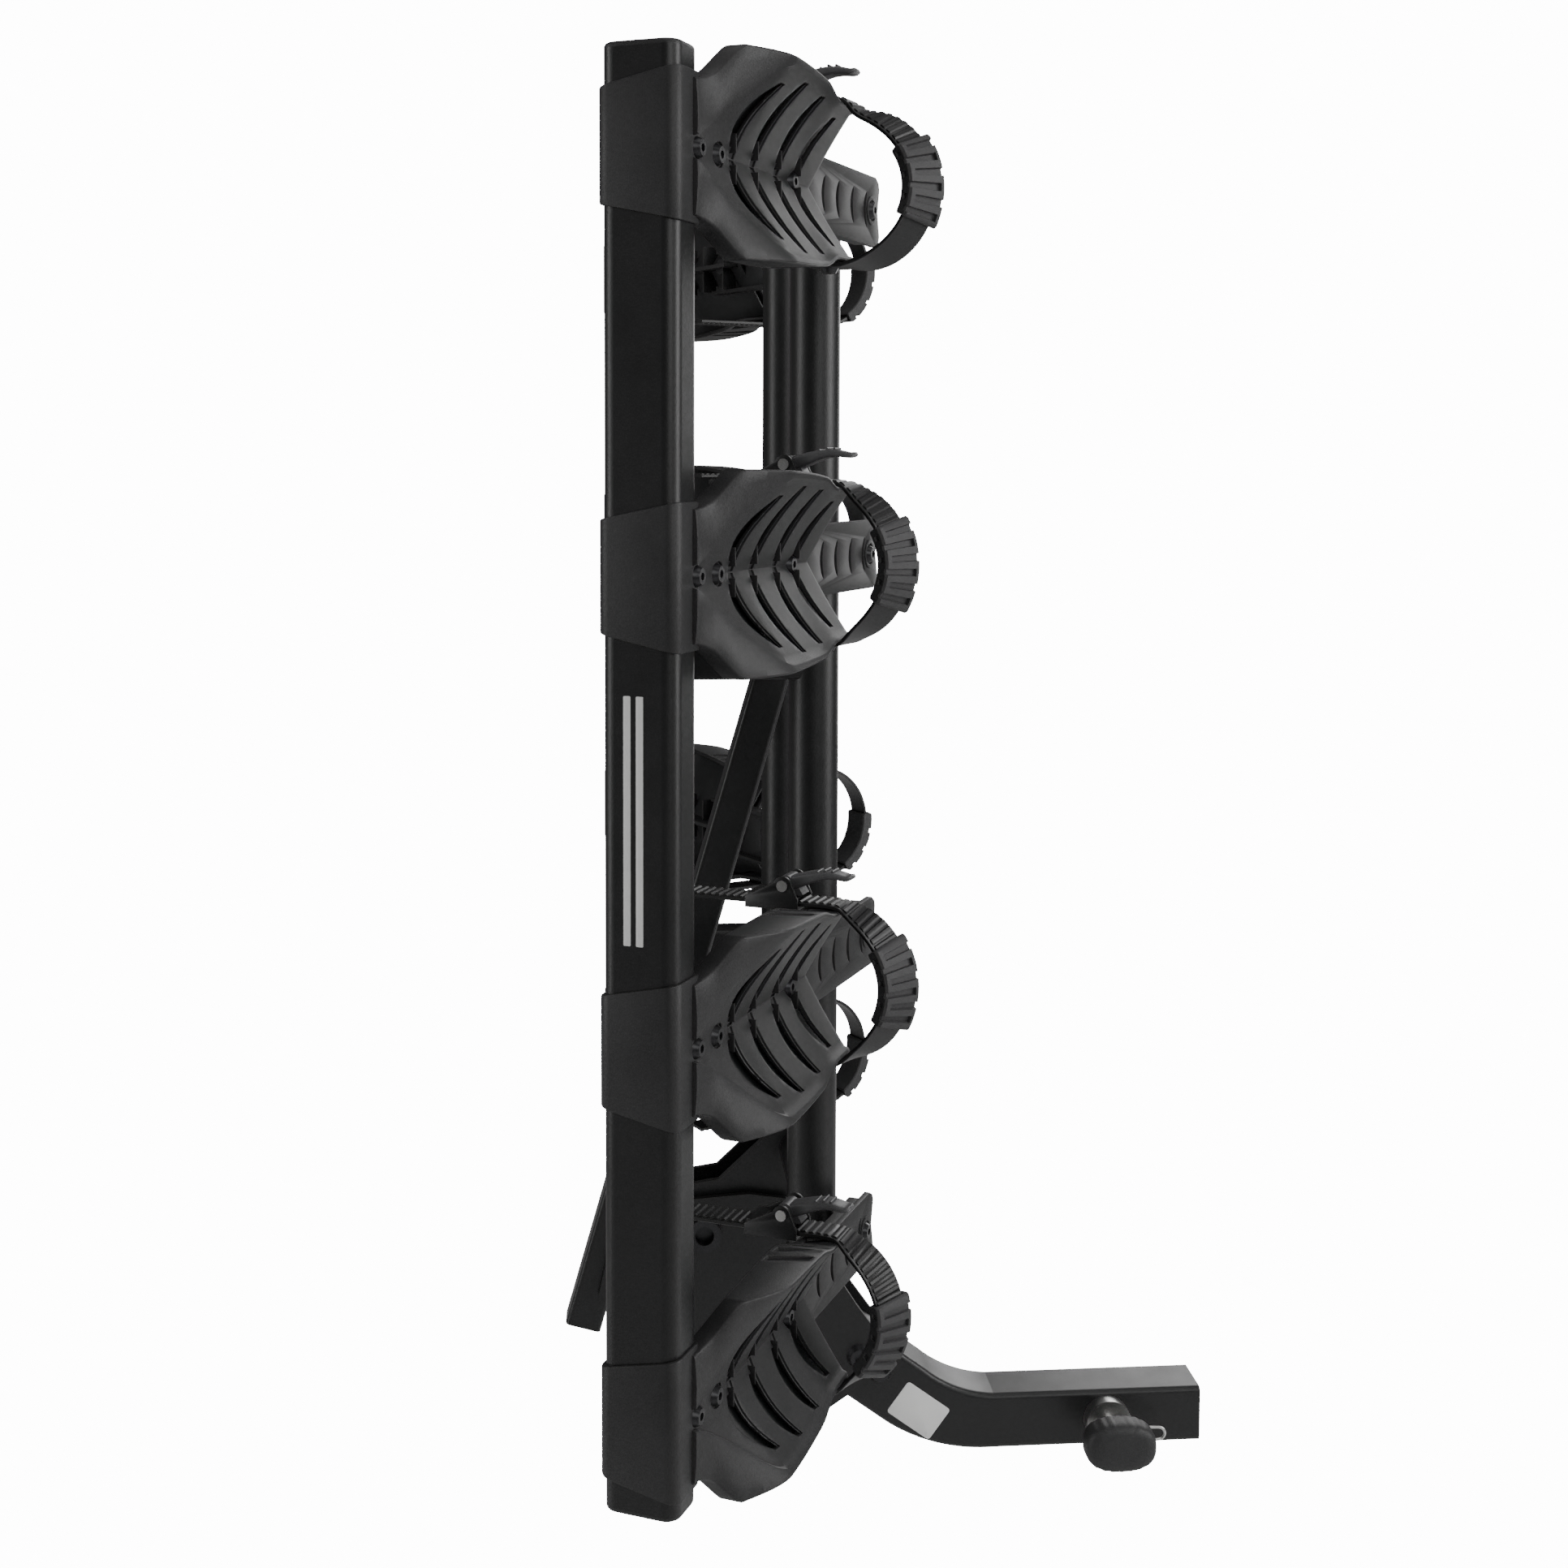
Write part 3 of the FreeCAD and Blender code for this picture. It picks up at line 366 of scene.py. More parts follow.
# ---------------------------------------------------------------- tray frame
def beam_frame(side):
    """The beam's box, and the directions along its trays, across them and out of them."""
    sign = 1.0 if side == "far" else -1.0
    low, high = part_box("side_beam_" + side)
    along = Vector((math.sin(CANT), -sign * math.cos(CANT), 0.0))
    across = Vector((0.0, 0.0, -sign))
    out = Vector((math.cos(CANT), sign * math.sin(CANT), 0.0))
    return low, high, along, across, out


def tray_matrix(side, number):
    """From a tray's own millimetres (along the valley, across, out) to the frame's metres."""
    beam_low, beam_high, along, across, out = beam_frame(side)
    low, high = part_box("wheel_holder_%s_%d" % (side, number))
    centre = (beam_low + beam_high) / 2
    origin = Vector((centre.x, centre.y, (low.z + high.z) / 2))
    turn = Matrix((along, across, out)).transposed().to_4x4()
    return Matrix.Translation(origin) @ turn @ Matrix.Scale(MM, 4)


def buckle_turn(buckle_side):
    """Half turn about the strap's own axis for a strap that buckles on the other wing."""
    if buckle_side > 0:
        return Matrix.Identity(4)
    middle = Vector((STRAP_S, 0.0, 0.0))
    return Matrix.Translation(middle) @ Matrix.Rotation(math.pi, 4, "Z") @ Matrix.Translation(-middle)


# ---------------------------------------------------------------- wheel tray
def wing_at(s):
    """Half width, rim, lower edge and border of the wings at one place, on smooth curves."""
    places = [row[0] for row in WING]
    s = min(max(s, places[0]), places[-1])
    i = max(k for k in range(len(places) - 1) if places[k] <= s)
    f = (s - places[i]) / (places[i + 1] - places[i])
    values = []
    for column in range(1, 5):
        v = [row[column] for row in WING]

        def slope(k):
            if k == 0 or k == len(v) - 1:
                return 0.0
            before = (v[k] - v[k - 1]) / (places[k] - places[k - 1])
            after = (v[k + 1] - v[k]) / (places[k + 1] - places[k])
            return 0.0 if before * after <= 0 else 2 * before * after / (before + after)

        width = places[i + 1] - places[i]
        a, b = slope(i) * width, slope(i + 1) * width
        values.append(v[i] * (2 * f ** 3 - 3 * f ** 2 + 1) + a * (f ** 3 - 2 * f ** 2 + f)
                      + v[i + 1] * (3 * f ** 2 - 2 * f ** 3) + b * (f ** 3 - f ** 2))
    return values


def panel_n(s, t):
    """Height of the slotted panel's surface."""
    half, rim, _, border = wing_at(s)
    slope = (rim - BORDER_STEP - FLOOR_N) / (half - 3.0)
    f = min(abs(t) / border, 1.0)
    return FLOOR_N + slope * abs(t) - PANEL_BOWL * math.sin(math.pi * f)


def wing_ring(s):
    """Closed section of both wings at one place along the valley."""
    half, rim, low, border = wing_at(s)
    right = [(border * f, panel_n(s, border * f)) for f in (0.06, 0.2, 0.35, 0.5, 0.65, 0.8, 0.92, 1.0)]
    edge = right[-1]
    right.append((edge[0] + 1.2, edge[1] + BORDER_STEP))
    outer = (half - 1.6, rim)
    for f in (0.25, 0.5, 0.75, 1.0):
        t = edge[0] + 1.2 + f * (outer[0] - edge[0] - 1.2)
        swell = 0.02 * (outer[0] - edge[0]) * math.sin(math.pi * f)
        right.append((t, edge[1] + BORDER_STEP + f * (outer[1] - edge[1] - BORDER_STEP) + swell))
    right += [(half - 0.5, rim - 0.5), (half, rim - 1.6), (half, (rim + low) / 2), (half, low + 0.8),
              (half - 0.8, low), (half - RIM_WALL + 0.8, low), (half - RIM_WALL, low + 0.8),
              (half - RIM_WALL, rim - SHELL - 2.0)]
    right.append((half * 0.5, FLOOR_N - SHELL + (rim - 2.0 - FLOOR_N) * 0.5))
    points = [(0.0, FLOOR_N)] + right + [(0.0, FLOOR_N - SHELL)] + [(-t, n) for t, n in reversed(right)]
    return [Vector((s, t, n)) for t, n in points]


def chevron_line(low, high, reach, f):
    """A point of a slot's middle line: f runs from the valley to the rim end."""
    return low + 2.0 - CHEVRON_BACK * f + (high - low + CHEVRON_BACK) * f * f, 3.0 + (reach - 3.0) * f


def chevron_cutter(slot, sign, start, width, depth, steps=18):
    """A crescent along one slot. depth is below the panel; None cuts right through."""
    low, high, reach = slot
    rings = []
    for i in range(steps + 1):
        f = start + (1.0 - start) * i / steps
        s, t = chevron_line(low, high, reach, f)
        half = width(f) / 2
        bottom = [(edge, 8.0 if depth is None else panel_n(edge, t) - depth) for edge in (s - half, s + half)]
        top = [(s + half, 90.0), (s - half, 90.0)]
        rings.append([Vector((edge, sign * t, n)) for edge, n in bottom + top])
    return loft_object("chevron", rings)


def slot_width(f):
    return 3.2 + 8.8 * math.sin(math.pi * min(f * 0.9 + 0.08, 1.0)) ** 0.8


def pocket_width(f):
    return slot_width(f) + 3.2


def make_wings():
    """Both slotted wings with their rims, bolt seats and rim recesses."""
    first, last = WING[0][0], WING[-1][0]
    rings = [wing_ring(first + (last - first) * i / WING_STEPS) for i in range(WING_STEPS + 1)]
    wings = loft_object("wings", rings)
    pockets = [chevron_cutter(slot, sign, -0.05, pocket_width, POCKET_DEPTH)
               for slot in CHEVRONS for sign in (-1, 1)]
    for half in (pockets[0::2], pockets[1::2]):
        cut(wings, half)
    slots = [chevron_cutter(slot, sign, 0.1, slot_width, None) for slot in CHEVRONS for sign in (-1, 1)]
    cut(wings, slots)
    cut(wings, [upright("seat", s, FLOOR_N, FLOOR_N + 14, 8.6) for s in BOLTS])
    cut(wings, [window_cutter(s0, sign) for s0 in WINDOWS for sign in (-1, 1)])
    soften(wings, 0.45)
    return wings


def window_cutter(s0, sign):
    """Slanted recess in the outer face of a rim wall."""
    half, rim, low, _ = wing_at(s0 + 12)
    outline = [(s0, low + 4), (s0 + 11, low + 4), (s0 + 24, rim - 5), (s0 + 13, rim - 5)]
    start, end = sorted((sign * (half - 2.0), sign * (half + 6.0)))
    return extruded("window", outline, "t", start, end)


def make_sleeve():
    """Clamp sleeve round the beam, taller on the valley's side."""
    half_s, half_n, behind, front = SLEEVE
    inner_s, inner_n, inner_corner = BEAM_SECTION

    def ring(inset, drop_by, way, inner=False):
        if inner:
            outline = rounded_outline(inner_s + 0.1, inner_n + 0.1, inner_corner)
        else:
            outline = rounded_outline(half_s - inset, half_n - inset, 9.0 - inset)
        points = []
        for s, n in outline:
            f = (n + half_n) / (2 * half_n)
            points.append(Vector((s, way * (behind + (front - behind) * f - drop_by), n)))
        return points

    rings = [ring(0, 0, -1, True), ring(0, 0, 1, True), ring(0.9, 0, 1), ring(0.3, 0.3, 1), ring(0, 1.0, 1),
             ring(0, 1.0, -1), ring(0.3, 0.3, -1), ring(0.9, 0, -1)]
    return loft_object("sleeve", rings, closed=True)


def make_tongue():
    """Long tongue with side flanges, curved slots and a notched tip."""
    start, end, half = TONGUE
    outline = [(start, -half), (end - 9, -half - 1), (end - 2, -half + 3), (end, -half + 8), (end - 5, 0),
               (end, half - 8), (end - 2, half - 3), (end - 9, half + 1), (start, half)]
    plate = extruded("tongue", outline, "n", FLOOR_N - SHELL, FLOOR_N)
    cutters = []
    for s0 in TONGUE_SLOTS:
        rings = []
        for i in range(13):
            t = -14.0 + 28.0 * i / 12
            s = s0 + 5.0 * (t / 14.0) ** 2
            wide = 0.6 + 2.2 * math.cos(t / 14.0 * math.pi / 2) ** 0.6 if i not in (0, 12) else 0.4
            rings.append([Vector((s - wide, t, 15)), Vector((s + wide, t, 15)), Vector((s + wide, t, 40)),
                          Vector((s - wide, t, 40))])
        cutters.append(loft_object("gill", rings))
    cut(plate, cutters)
    flanges = []
    for sign in (-1, 1):
        edges = sorted((sign * half, sign * (half - 3.5)))
        flanges.append(block("flange", (start - 50, edges[0], FLOOR_N - SHELL - 9),
                             (end - 22, edges[1], FLOOR_N - 1)))
    ring = upright("ring", TONGUE_BOLT, FLOOR_N - 1, FLOOR_N + 1.2, 11.5)
    cut(ring, [upright("hole", TONGUE_BOLT, FLOOR_N - 4, FLOOR_N + 8, 8.4)])
    whole = joined("tongue", [plate, ring] + flanges)
    soften(whole, 0.5)
    return whole


def make_tray_ribs():
    """Keel, bosses and cross ribs under the valley, and thin webs across the slots."""
    under = FLOOR_N - SHELL + 1.5
    ribs = [block("keel", (20, -2, 2), (205, 2, under))]
    for s in (62, 104, 146, 188):
        ribs.append(block("rib", (s - 1.2, -24, 10), (s + 1.2, 24, under)))
    for low, _, _ in CHEVRONS:
        for sign in (-1, 1):
            edges = sorted((sign * 4.0, sign * 17.0))
            ribs.append(block("web", (low + 1.0, edges[0], 22),
                              (low + 2.4, edges[1], panel_n(low, 10.5) + 0.6)))
    ribs += [upright("boss", s, 11, under, 8.0) for s in BOLTS[1:]]
    whole = joined("ribs", ribs)
    soften(whole, 0.35)
    return whole


def make_backing():
    """Closed floor under the slots, so that they are deep pockets."""
    rings = []
    for i in range(25):
        s = 46.0 + 166.0 * i / 24
        half, rim, _, _ = wing_at(s)
        edge = half - 6.0
        slope = (rim - BORDER_STEP - FLOOR_N) / (half - 3.0)
        top = [(t, FLOOR_N - BACKING_DROP + slope * abs(t))
               for t in (-edge, -edge * 0.5, 0.0, edge * 0.5, edge)]
        rings.append([Vector((s, t, n)) for t, n in top]
                     + [Vector((s, t, n - 1.6)) for t, n in reversed(top)])
    return loft_object("backing", rings)


def make_holder():
    """One whole wheel tray in its own millimetres."""
    parts = [make_wings(), make_sleeve(), make_tongue(), make_tray_ribs(), make_backing()]
    holder = joined("holder", parts)
    smooth(holder.data, 38.0)
    return holder


# ---------------------------------------------------------------- strap, pad and buckle
class Loop:
    """A strap's line: up one rim wall, round the wheel and down the other wall to the buckle."""

    def __init__(self, centre_t, centre_n, radius, twist):
        self.t, self.n, self.r = centre_t, centre_n, radius
        self.twist = math.radians(twist)
        self.top = max(66.0, centre_n)

    def on_arc(self, a):
        """Where the arc is at an angle from its top."""
        return self.t + self.r * math.sin(a), self.n + self.r * math.cos(a)

    def turned(self, t, n, out):
        """Point, width direction and outward direction where the line passes (t, n)."""
        ease = max(0.0, min(1.0, (n - self.top + 4.0) / (self.n + self.r - self.top)))
        turn = self.twist * math.sin(ease * math.pi / 2)
        along = Vector((1, 0, 0))
        return (Vector((STRAP_S, t, n)), along * math.cos(turn) + out * math.sin(turn),
                out * math.cos(turn) - along * math.sin(turn))

    def frame_at(self, a):
        """The strap's point and directions at an angle of the arc."""
        (t0, n0), (t1, n1) = self.on_arc(a - 0.02), self.on_arc(a + 0.02)
        return self.turned(*self.on_arc(a), Vector((0, n0 - n1, t1 - t0)).normalized())

    def outline(self, tail):
        """The strap's line in even steps, with its corners eased."""
        steps = 90
        arc = [self.on_arc(math.radians(180.0 * i / steps - 90.0)) for i in range(1, steps)]
        corners = [(-LOOP_R, ANCHOR_LOW), (-LOOP_R, self.top + 1.0)]
        corners += [point for point in arc if point[1] > self.top + 3.0]
        corners += [(LOOP_R, self.top + 1.0), (LOOP_R, -tail)]
        points = [corners[0]]
        for (t0, n0), (t1, n1) in zip(corners, corners[1:]):
            count = max(1, round(math.hypot(t1 - t0, n1 - n0) / 1.2))
            points += [(t0 + (t1 - t0) * i / count, n0 + (n1 - n0) * i / count)
                       for i in range(1, count + 1)]
        for _ in range(SMOOTHING):
            inner = [((a[0] + 2 * b[0] + c[0]) / 4, (a[1] + 2 * b[1] + c[1]) / 4)
                     for a, b, c in zip(points, points[1:], points[2:])]
            points = [points[0]] + inner + [points[-1]]
        return points

    def stations(self, tail):
        """Down the whole strap: point, width direction, outward direction and angle about the centre."""
        points = self.outline(tail)
        line = []
        for i, (t, n) in enumerate(points):
            before, after = points[max(i - 1, 0)], points[min(i + 1, len(points) - 1)]
            out = Vector((0, before[1] - after[1], after[0] - before[0])).normalized()
            line.append((*self.turned(t, n, out), math.atan2(t - self.t, max(n - self.n, 0.0))))
        return line


def make_strap(loop, pad_angle, tail):
    """Ladder strap: smooth below the pad, ribbed from the pad to the end of the tail."""
    rings = []
    travelled, before = 0.0, None
    for point, width, out, a in loop.stations(tail):
        if before is not None:
            travelled += (point - before).length
        before = point
        phase = (travelled % TOOTH_PITCH) / TOOTH_PITCH
        ribbed = a > math.radians(pad_angle)
        height = TOOTH * min(max((0.36 - abs(phase - 0.5)) / 0.12, 0.0), 1.0) if ribbed else 0.0
        half = STRAP_HALF
        section = [(-half, 0.4), (-half, STRAP_T - 0.5), (-half + 0.5, STRAP_T), (-half + 2.2, STRAP_T),
                   (-half + 2.4, STRAP_T + height), (half - 1.2, STRAP_T + height), (half - 1.0, STRAP_T),
                   (half - 0.5, STRAP_T), (half, STRAP_T - 0.5), (half, 0.4), (half - 0.4, 0.0),
                   (-half + 0.4, 0.0)]
        rings.append([point + out * r + width * w for w, r in section])
    return loft_object("strap", rings, angle=30.0)


def pad_places(length):
    """Places along the pad where its section changes, in order, with how deep each lies in a groove."""
    places = {-length: 0.0, length: 0.0, -length + 1.0: 0.0, length - 1.0: 0.0, -length + 2.5: 0.0,
              length - 2.5: 0.0}
    for k in range(PAD_GROOVES):
        centre = (k - (PAD_GROOVES - 1) / 2) * GROOVE_PITCH
        for offset, deep in ((-2.7, 0.0), (-2.2, 1.0), (2.2, 1.0), (2.7, 0.0)):
            places[centre + offset] = deep
    return sorted(places.items())


def make_pad(loop, pad_angle):
    """Rubber pad: a meander of grooves on its back, nicks along one edge and a channel for the strap."""
    radius = loop.r + STRAP_T + PAD_T
    length = radius * PAD_HALF_ANGLE
    rings = []
    for x, deep in pad_places(length):
        a = math.radians(pad_angle) + x / radius
        point, width, out = loop.frame_at(a)
        k = min(max(round(x / GROOVE_PITCH + (PAD_GROOVES - 1) / 2), 0), PAD_GROOVES - 1)
        end = min((length - abs(x)) / 2.5, 1.0)
        top = STRAP_T + PAD_T - 2.0 * (1 - end) ** 2
        low = -3.5 + 1.2 * (1 - end) ** 2
        floor = top - GROOVE_DEPTH * deep
        right_open = k % 2 == 1
        left = top if right_open else floor
        right = floor if right_open else top
        nick = 1.2 * deep if right_open else 0.0
        p = PAD_HALF
        section = [(-p + 1.0, low), (-p, low + 1.0), (-p, low + 3.4), (-p + nick, low + 4.0),
                   (-p + nick, top - 4.0), (-p, top - 3.4), (-p, left - 1.6), (-p + 1.6, left),
                   (-p + 5.2, left), (-p + 5.8, floor), (p - 4.0, floor), (p - 3.4, right),
                   (p - 1.0, right), (p, right - 1.0), (p, low + 1.0), (p - 1.0, low)]
        rings.append([point + out * r + width * w for w, r in section])
    pad = loft_object("pad", rings, angle=30.0)
    channel = []
    wide = STRAP_HALF + 0.4
    for i in range(25):
        point, width, out = loop.frame_at(math.radians(pad_angle) + PAD_HALF_ANGLE * 1.06 * (i / 12 - 1))
        channel.append([point + out * r + width * w for w, r in
                        ((-wide, -0.6), (wide, -0.6), (wide, STRAP_T + 1.7), (-wide, STRAP_T + 1.7))])
    cut(pad, [loft_object("channel", channel)])
    smooth(pad.data, 30.0)
    return pad


def make_lever(rivet_n, angle):
    """Ratchet lever: a barrel on the rivet and a curved handle that ends in a turned-up lip."""
    spine = [(0, 0, 8.5, 5.5), (2, 9, 8.8, 5.0), (5.5, 18, 9.0, 4.2), (8, 28, 9.0, 3.2), (8.5, 37, 8.6, 2.6),
             (7, 44, 8.0, 2.3), (6.5, 48, 7.2, 2.0), (8.5, 51, 6.4, 1.5)]
    rings = []
    for i, (t, n, half, thick) in enumerate(spine):
        before, after = spine[max(i - 1, 0)], spine[min(i + 1, len(spine) - 1)]
        run = Vector((0, after[0] - before[0], after[1] - before[1])).normalized()
        side = Vector((0, run.z, -run.y))
        centre = Vector((STRAP_S, RIVET_T + t, rivet_n + n))
        rings.append([centre + Vector((1, 0, 0)) * u + side * v
                      for u, v in rounded_outline(half, thick, min(thick * 0.8, 2.4), steps=3)])
    handle = loft_object("handle", rings)
    mod = handle.modifiers.new("round", "SUBSURF")
    mod.levels = 1
    mod.render_levels = 1
    apply_modifiers(handle)
    axis = Vector((STRAP_S, RIVET_T, rivet_n))
    barrel = round_bar("barrel", axis - Vector((8.8, 0, 0)), axis + Vector((8.8, 0, 0)), 6.6)
    grips = []
    for n, t in ((24, 10.2), (30, 11.6), (36, 11.4)):
        grips.append(round_bar("grip", Vector((STRAP_S - 6.5, RIVET_T + t, rivet_n + n)),
                               Vector((STRAP_S + 6.5, RIVET_T + t, rivet_n + n)), 1.0, steps=10))
    outline = [(RIVET_T + t, rivet_n + n) for t, n in ((-6.0, -3), (2, -5), (1, 8), (-7.5, 13), (-8.5, 11))]
    pawl = extruded("pawl", outline, "s", STRAP_S - 7.0, STRAP_S + 7.0)
    lever = joined("lever", [handle, barrel, pawl] + grips)
    cut(lever, [round_bar("bore", axis - Vector((12, 0, 0)), axis + Vector((12, 0, 0)), RIVET_BORE)])
    turn = Matrix.Rotation(math.radians(-angle), 4, "X")
    lever.data.transform(Matrix.Translation(axis) @ turn @ Matrix.Translation(-axis))
    smooth(lever.data, 38.0)
    return lever


def make_buckle(rivet_n):
    """Buckle channel: floor, two cheeks with rounded ears and a bridge over the strap's tail."""
    inner = STRAP_HALF + 0.4
    low, high = rivet_n - 30.0, rivet_n + 12.0
    parts = [block("floor", (STRAP_S - inner, LOOP_R - 3, low), (STRAP_S + inner, LOOP_R - 0.1, high))]
    ear = [(RIVET_T + 7.0 * math.cos(a), rivet_n + 7.0 * math.sin(a))
           for a in (math.radians(-75 + 150 * i / 10) for i in range(11))]
    outline = [(LOOP_R - 3, low), (LOOP_R + 5, low), (LOOP_R + 7, low + 3)] + ear
    outline += [(LOOP_R + 7, high - 1), (LOOP_R + 5, high), (LOOP_R - 3, high)]
    for sign in (-1, 1):
        a, b = sorted((sign * inner, sign * (inner + 2.5)))
        parts.append(extruded("cheek", outline, "s", STRAP_S + a, STRAP_S + b))
    bridge = block("bridge", (STRAP_S - inner, LOOP_R + 4.6, low + 1),
                   (STRAP_S + inner, LOOP_R + 8.2, low + 13))
    whole = joined("buckle", parts + [bridge])
    axis = Vector((STRAP_S, RIVET_T, rivet_n))
    cut(whole, [round_bar("bore", axis - Vector((30, 0, 0)), axis + Vector((30, 0, 0)), 2.5)])
    soften(whole, 0.6)
    return whole


# ---------------------------------------------------------------- trays and straps in place
def moved(shape, name, matrix):
    """The shape itself, under a new name and moved by a matrix that is put into its mesh."""
    made = copy_to(shape, name, matrix)
    drop(shape)
    return made


def place_trays():
    """Eight trays, each with its strap, pad, lever and buckle."""
    holder = make_holder()
    buckles = []
    for side, number, buckle_side, *shape_of_loop, pad_angle, rivet_n, lever_angle, tail in LOOPS:
        loop = Loop(*shape_of_loop)
        tag = "_%s_%d" % (side, number)
        to_frame = tray_matrix(side, number)
        turned = to_frame @ buckle_turn(buckle_side)
        tray = copy_to(holder, "tray" + tag, to_frame)
        dress(tray, "tray_plastic", "platform", ["wheel_holder" + tag])

        strap = moved(make_strap(loop, pad_angle, tail), "strap" + tag, turned)
        dress(strap, "strap_plastic", "platform", ["ladder_strap" + tag])
        pad = moved(make_pad(loop, pad_angle), "pad" + tag, turned)
        dress(pad, "pad_rubber", "pad" + tag, ["strap_pad" + tag])
        lever = moved(make_lever(rivet_n, lever_angle), "lever" + tag, turned)
        dress(lever, "lever_metal", "lever" + tag, ["buckle_lever" + tag])
        buckles.append(moved(make_buckle(rivet_n), "buckle" + tag, turned))
    drop(holder)
    bases = joined("buckle_frames", buckles)
    smooth(bases.data, 38.0)
    dress(bases, "strap_plastic", "platform", ["buckle_bases"])


# ---------------------------------------------------------------- small parts of the frame
def make_beam_caps():
    """Moulded plugs with a rounded crown on the four beam ends."""
    profile = ((2.6, -16.0), (2.6, 0.0), (0.0, 0.0), (0.0, 1.2), (0.7, 2.7), (2.0, 3.6), (4.2, 4.0))
    caps = []
    for side in SIDES:
        low, high, along, _, out = beam_frame(side)
        centre = (low + high) / 2
        half_s, half_n, corner = BEAM_SECTION
        for z, way in ((low.z, -1), (high.z, 1)):
            rings = []
            for inset, rise in profile:
                outline = rounded_outline(half_s - inset, half_n - inset, corner - inset * 0.6)
                base = Vector((centre.x, centre.y, z + way * rise * MM))
                rings.append([base + (along * s + out * n) * MM for s, n in outline])
            caps.append(loft_object("cap", rings))
    whole = joined("beam_caps", caps)
    smooth(whole.data, 30.0)
    dress(whole, "cap_plastic", "platform", ["beam_end_caps"])


def make_knob():
    """Ribbed oval grip with a domed face, narrower next to the pin's collar."""
    low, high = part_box("hitch_pin_knob")
    centre = (low + high) / 2
    half_x, half_z = (high.x - low.x) / 2, (high.z - low.z) / 2
    depth = high.y - low.y
    rings = []
    profile = ((0.0, 0.45), (0.02, 0.7), (0.07, 0.88), (0.16, 0.97), (0.3, 1.0), (0.62, 1.0), (0.74, 0.96),
               (0.84, 0.86), (0.92, 0.74), (1.0, 0.62))
    steps = 96
    for f, scale in profile:
        ring = []
        for i in range(steps):
            a = 2 * math.pi * i / steps
            u = math.copysign(abs(math.cos(a)) ** 0.8, math.cos(a)) * half_x * scale
            v = math.copysign(abs(math.sin(a)) ** 0.8, math.sin(a)) * half_z * scale
            flute = 0.0
            if 0.1 < f < 0.8 and abs(u) < half_x * 0.8:
                flute = 0.0007 * (0.5 - 0.5 * math.cos(2 * math.pi * u / (0.25 * half_x)))
            v -= math.copysign(flute, v)
            ring.append(Vector((centre.x + u, low.y + depth * f, centre.z + v)))
        rings.append(ring)
    knob = loft_object("hitch_knob", rings)
    smooth(knob.data, 40.0)
    dress(knob, "knob_plastic", "hitch_pin", ["hitch_pin_knob"])


def make_clip():
    """Sprung wire keeper, bent back on itself and bowed at its end."""
    low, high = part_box("hitch_pin_clip")
    y, z = (low.y + high.y) / 2, high.z - 1.5 * MM
    drop_z = high.z - low.z - 3 * MM
    line = [(low.x, 0.0), (0.0, 0.0), (high.x - 0.010, 0.0), (high.x - 0.004, -0.1), (high.x - 0.0015, -0.5),
            (high.x - 0.004, -0.9), (high.x - 0.010, -1.0), (high.x - 0.020, -0.9), (high.x - 0.025, -0.8)]
    curve = bpy.data.curves.new("clip_line", "CURVE")
    curve.dimensions = "3D"
    spline = curve.splines.new("NURBS")
    spline.points.add(len(line) - 1)
    for point, (x, f) in zip(spline.points, line):
        point.co = (x, y, z + f * drop_z, 1.0)
    spline.order_u = 3
    spline.use_endpoint_u = True
    spline.resolution_u = 8
    curve.bevel_depth = 1.45 * MM
    curve.bevel_resolution = 4
    curve.use_fill_caps = True
    wire = bpy.data.objects.new("clip_line", curve)
    bpy.context.scene.collection.objects.link(wire)
    graph = bpy.context.evaluated_depsgraph_get()
    mesh = bpy.data.meshes.new_from_object(wire.evaluated_get(graph))
    bpy.data.objects.remove(wire)
    clip = finish_object("hitch_clip_wire", mesh, 45.0)
    dress(clip, "zinc_steel", "hitch_clip", ["hitch_pin_clip"])


def patch(name, origin, u_dir, v_dir, half_u, half_v, corner, thick):
    """A thin flat patch with rounded corners, standing on a face."""
    out = u_dir.cross(v_dir)
    rings = []
    for inset, lift in ((0.0, 0.0), (0.0, thick * 0.7), (0.15 * MM, thick)):
        outline = rounded_outline(half_u - inset, half_v - inset, corner)
        rings.append([origin + u_dir * u + v_dir * v + out * lift for u, v in outline])
    return loft_object(name, rings)


def make_labels():
    """A blank label on the neck and two plain stripes on each beam, in place of lettering."""
    near_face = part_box("receiver_shank")[0].y
    up_neck = Vector((-math.cos(NECK_RISE), 0.0, math.sin(NECK_RISE)))
    over = Vector((math.sin(NECK_RISE), 0.0, math.cos(NECK_RISE)))
    origin = Vector((BEND_X, near_face, 0.0)) + up_neck * 0.028 - over * 0.004
    label = patch("blank_label", origin, -up_neck, over, 0.024, 0.017, 0.003, 0.0003)
    dress(label, "label_vinyl", "hitch_mount")
    stripes = []
    for side in SIDES:
        low, high, along, across, out = beam_frame(side)
        centre = (low + high) / 2
        for n in STRIPE_PLACES:
            origin = centre - along * (BEAM_SECTION[0] - 0.02) * MM + out * n * MM
            origin.z = STRIPE_Z
            stripes.append(patch("stripe", origin, out, across, 0.0026, 0.082, 0.0008, 0.0002))
    whole = joined("beam_stripes", stripes)
    smooth(whole.data, 30.0)
    dress(whole, "label_vinyl", "platform")


def finish_cad_nodes():
    """Carried-over CAD nodes get the procedural material of their slot."""
    for name, node in frame["nodes"].items():
        for slot in node.material_slots:
            slot.material = MATERIALS[NODE_SLOTS[name]]


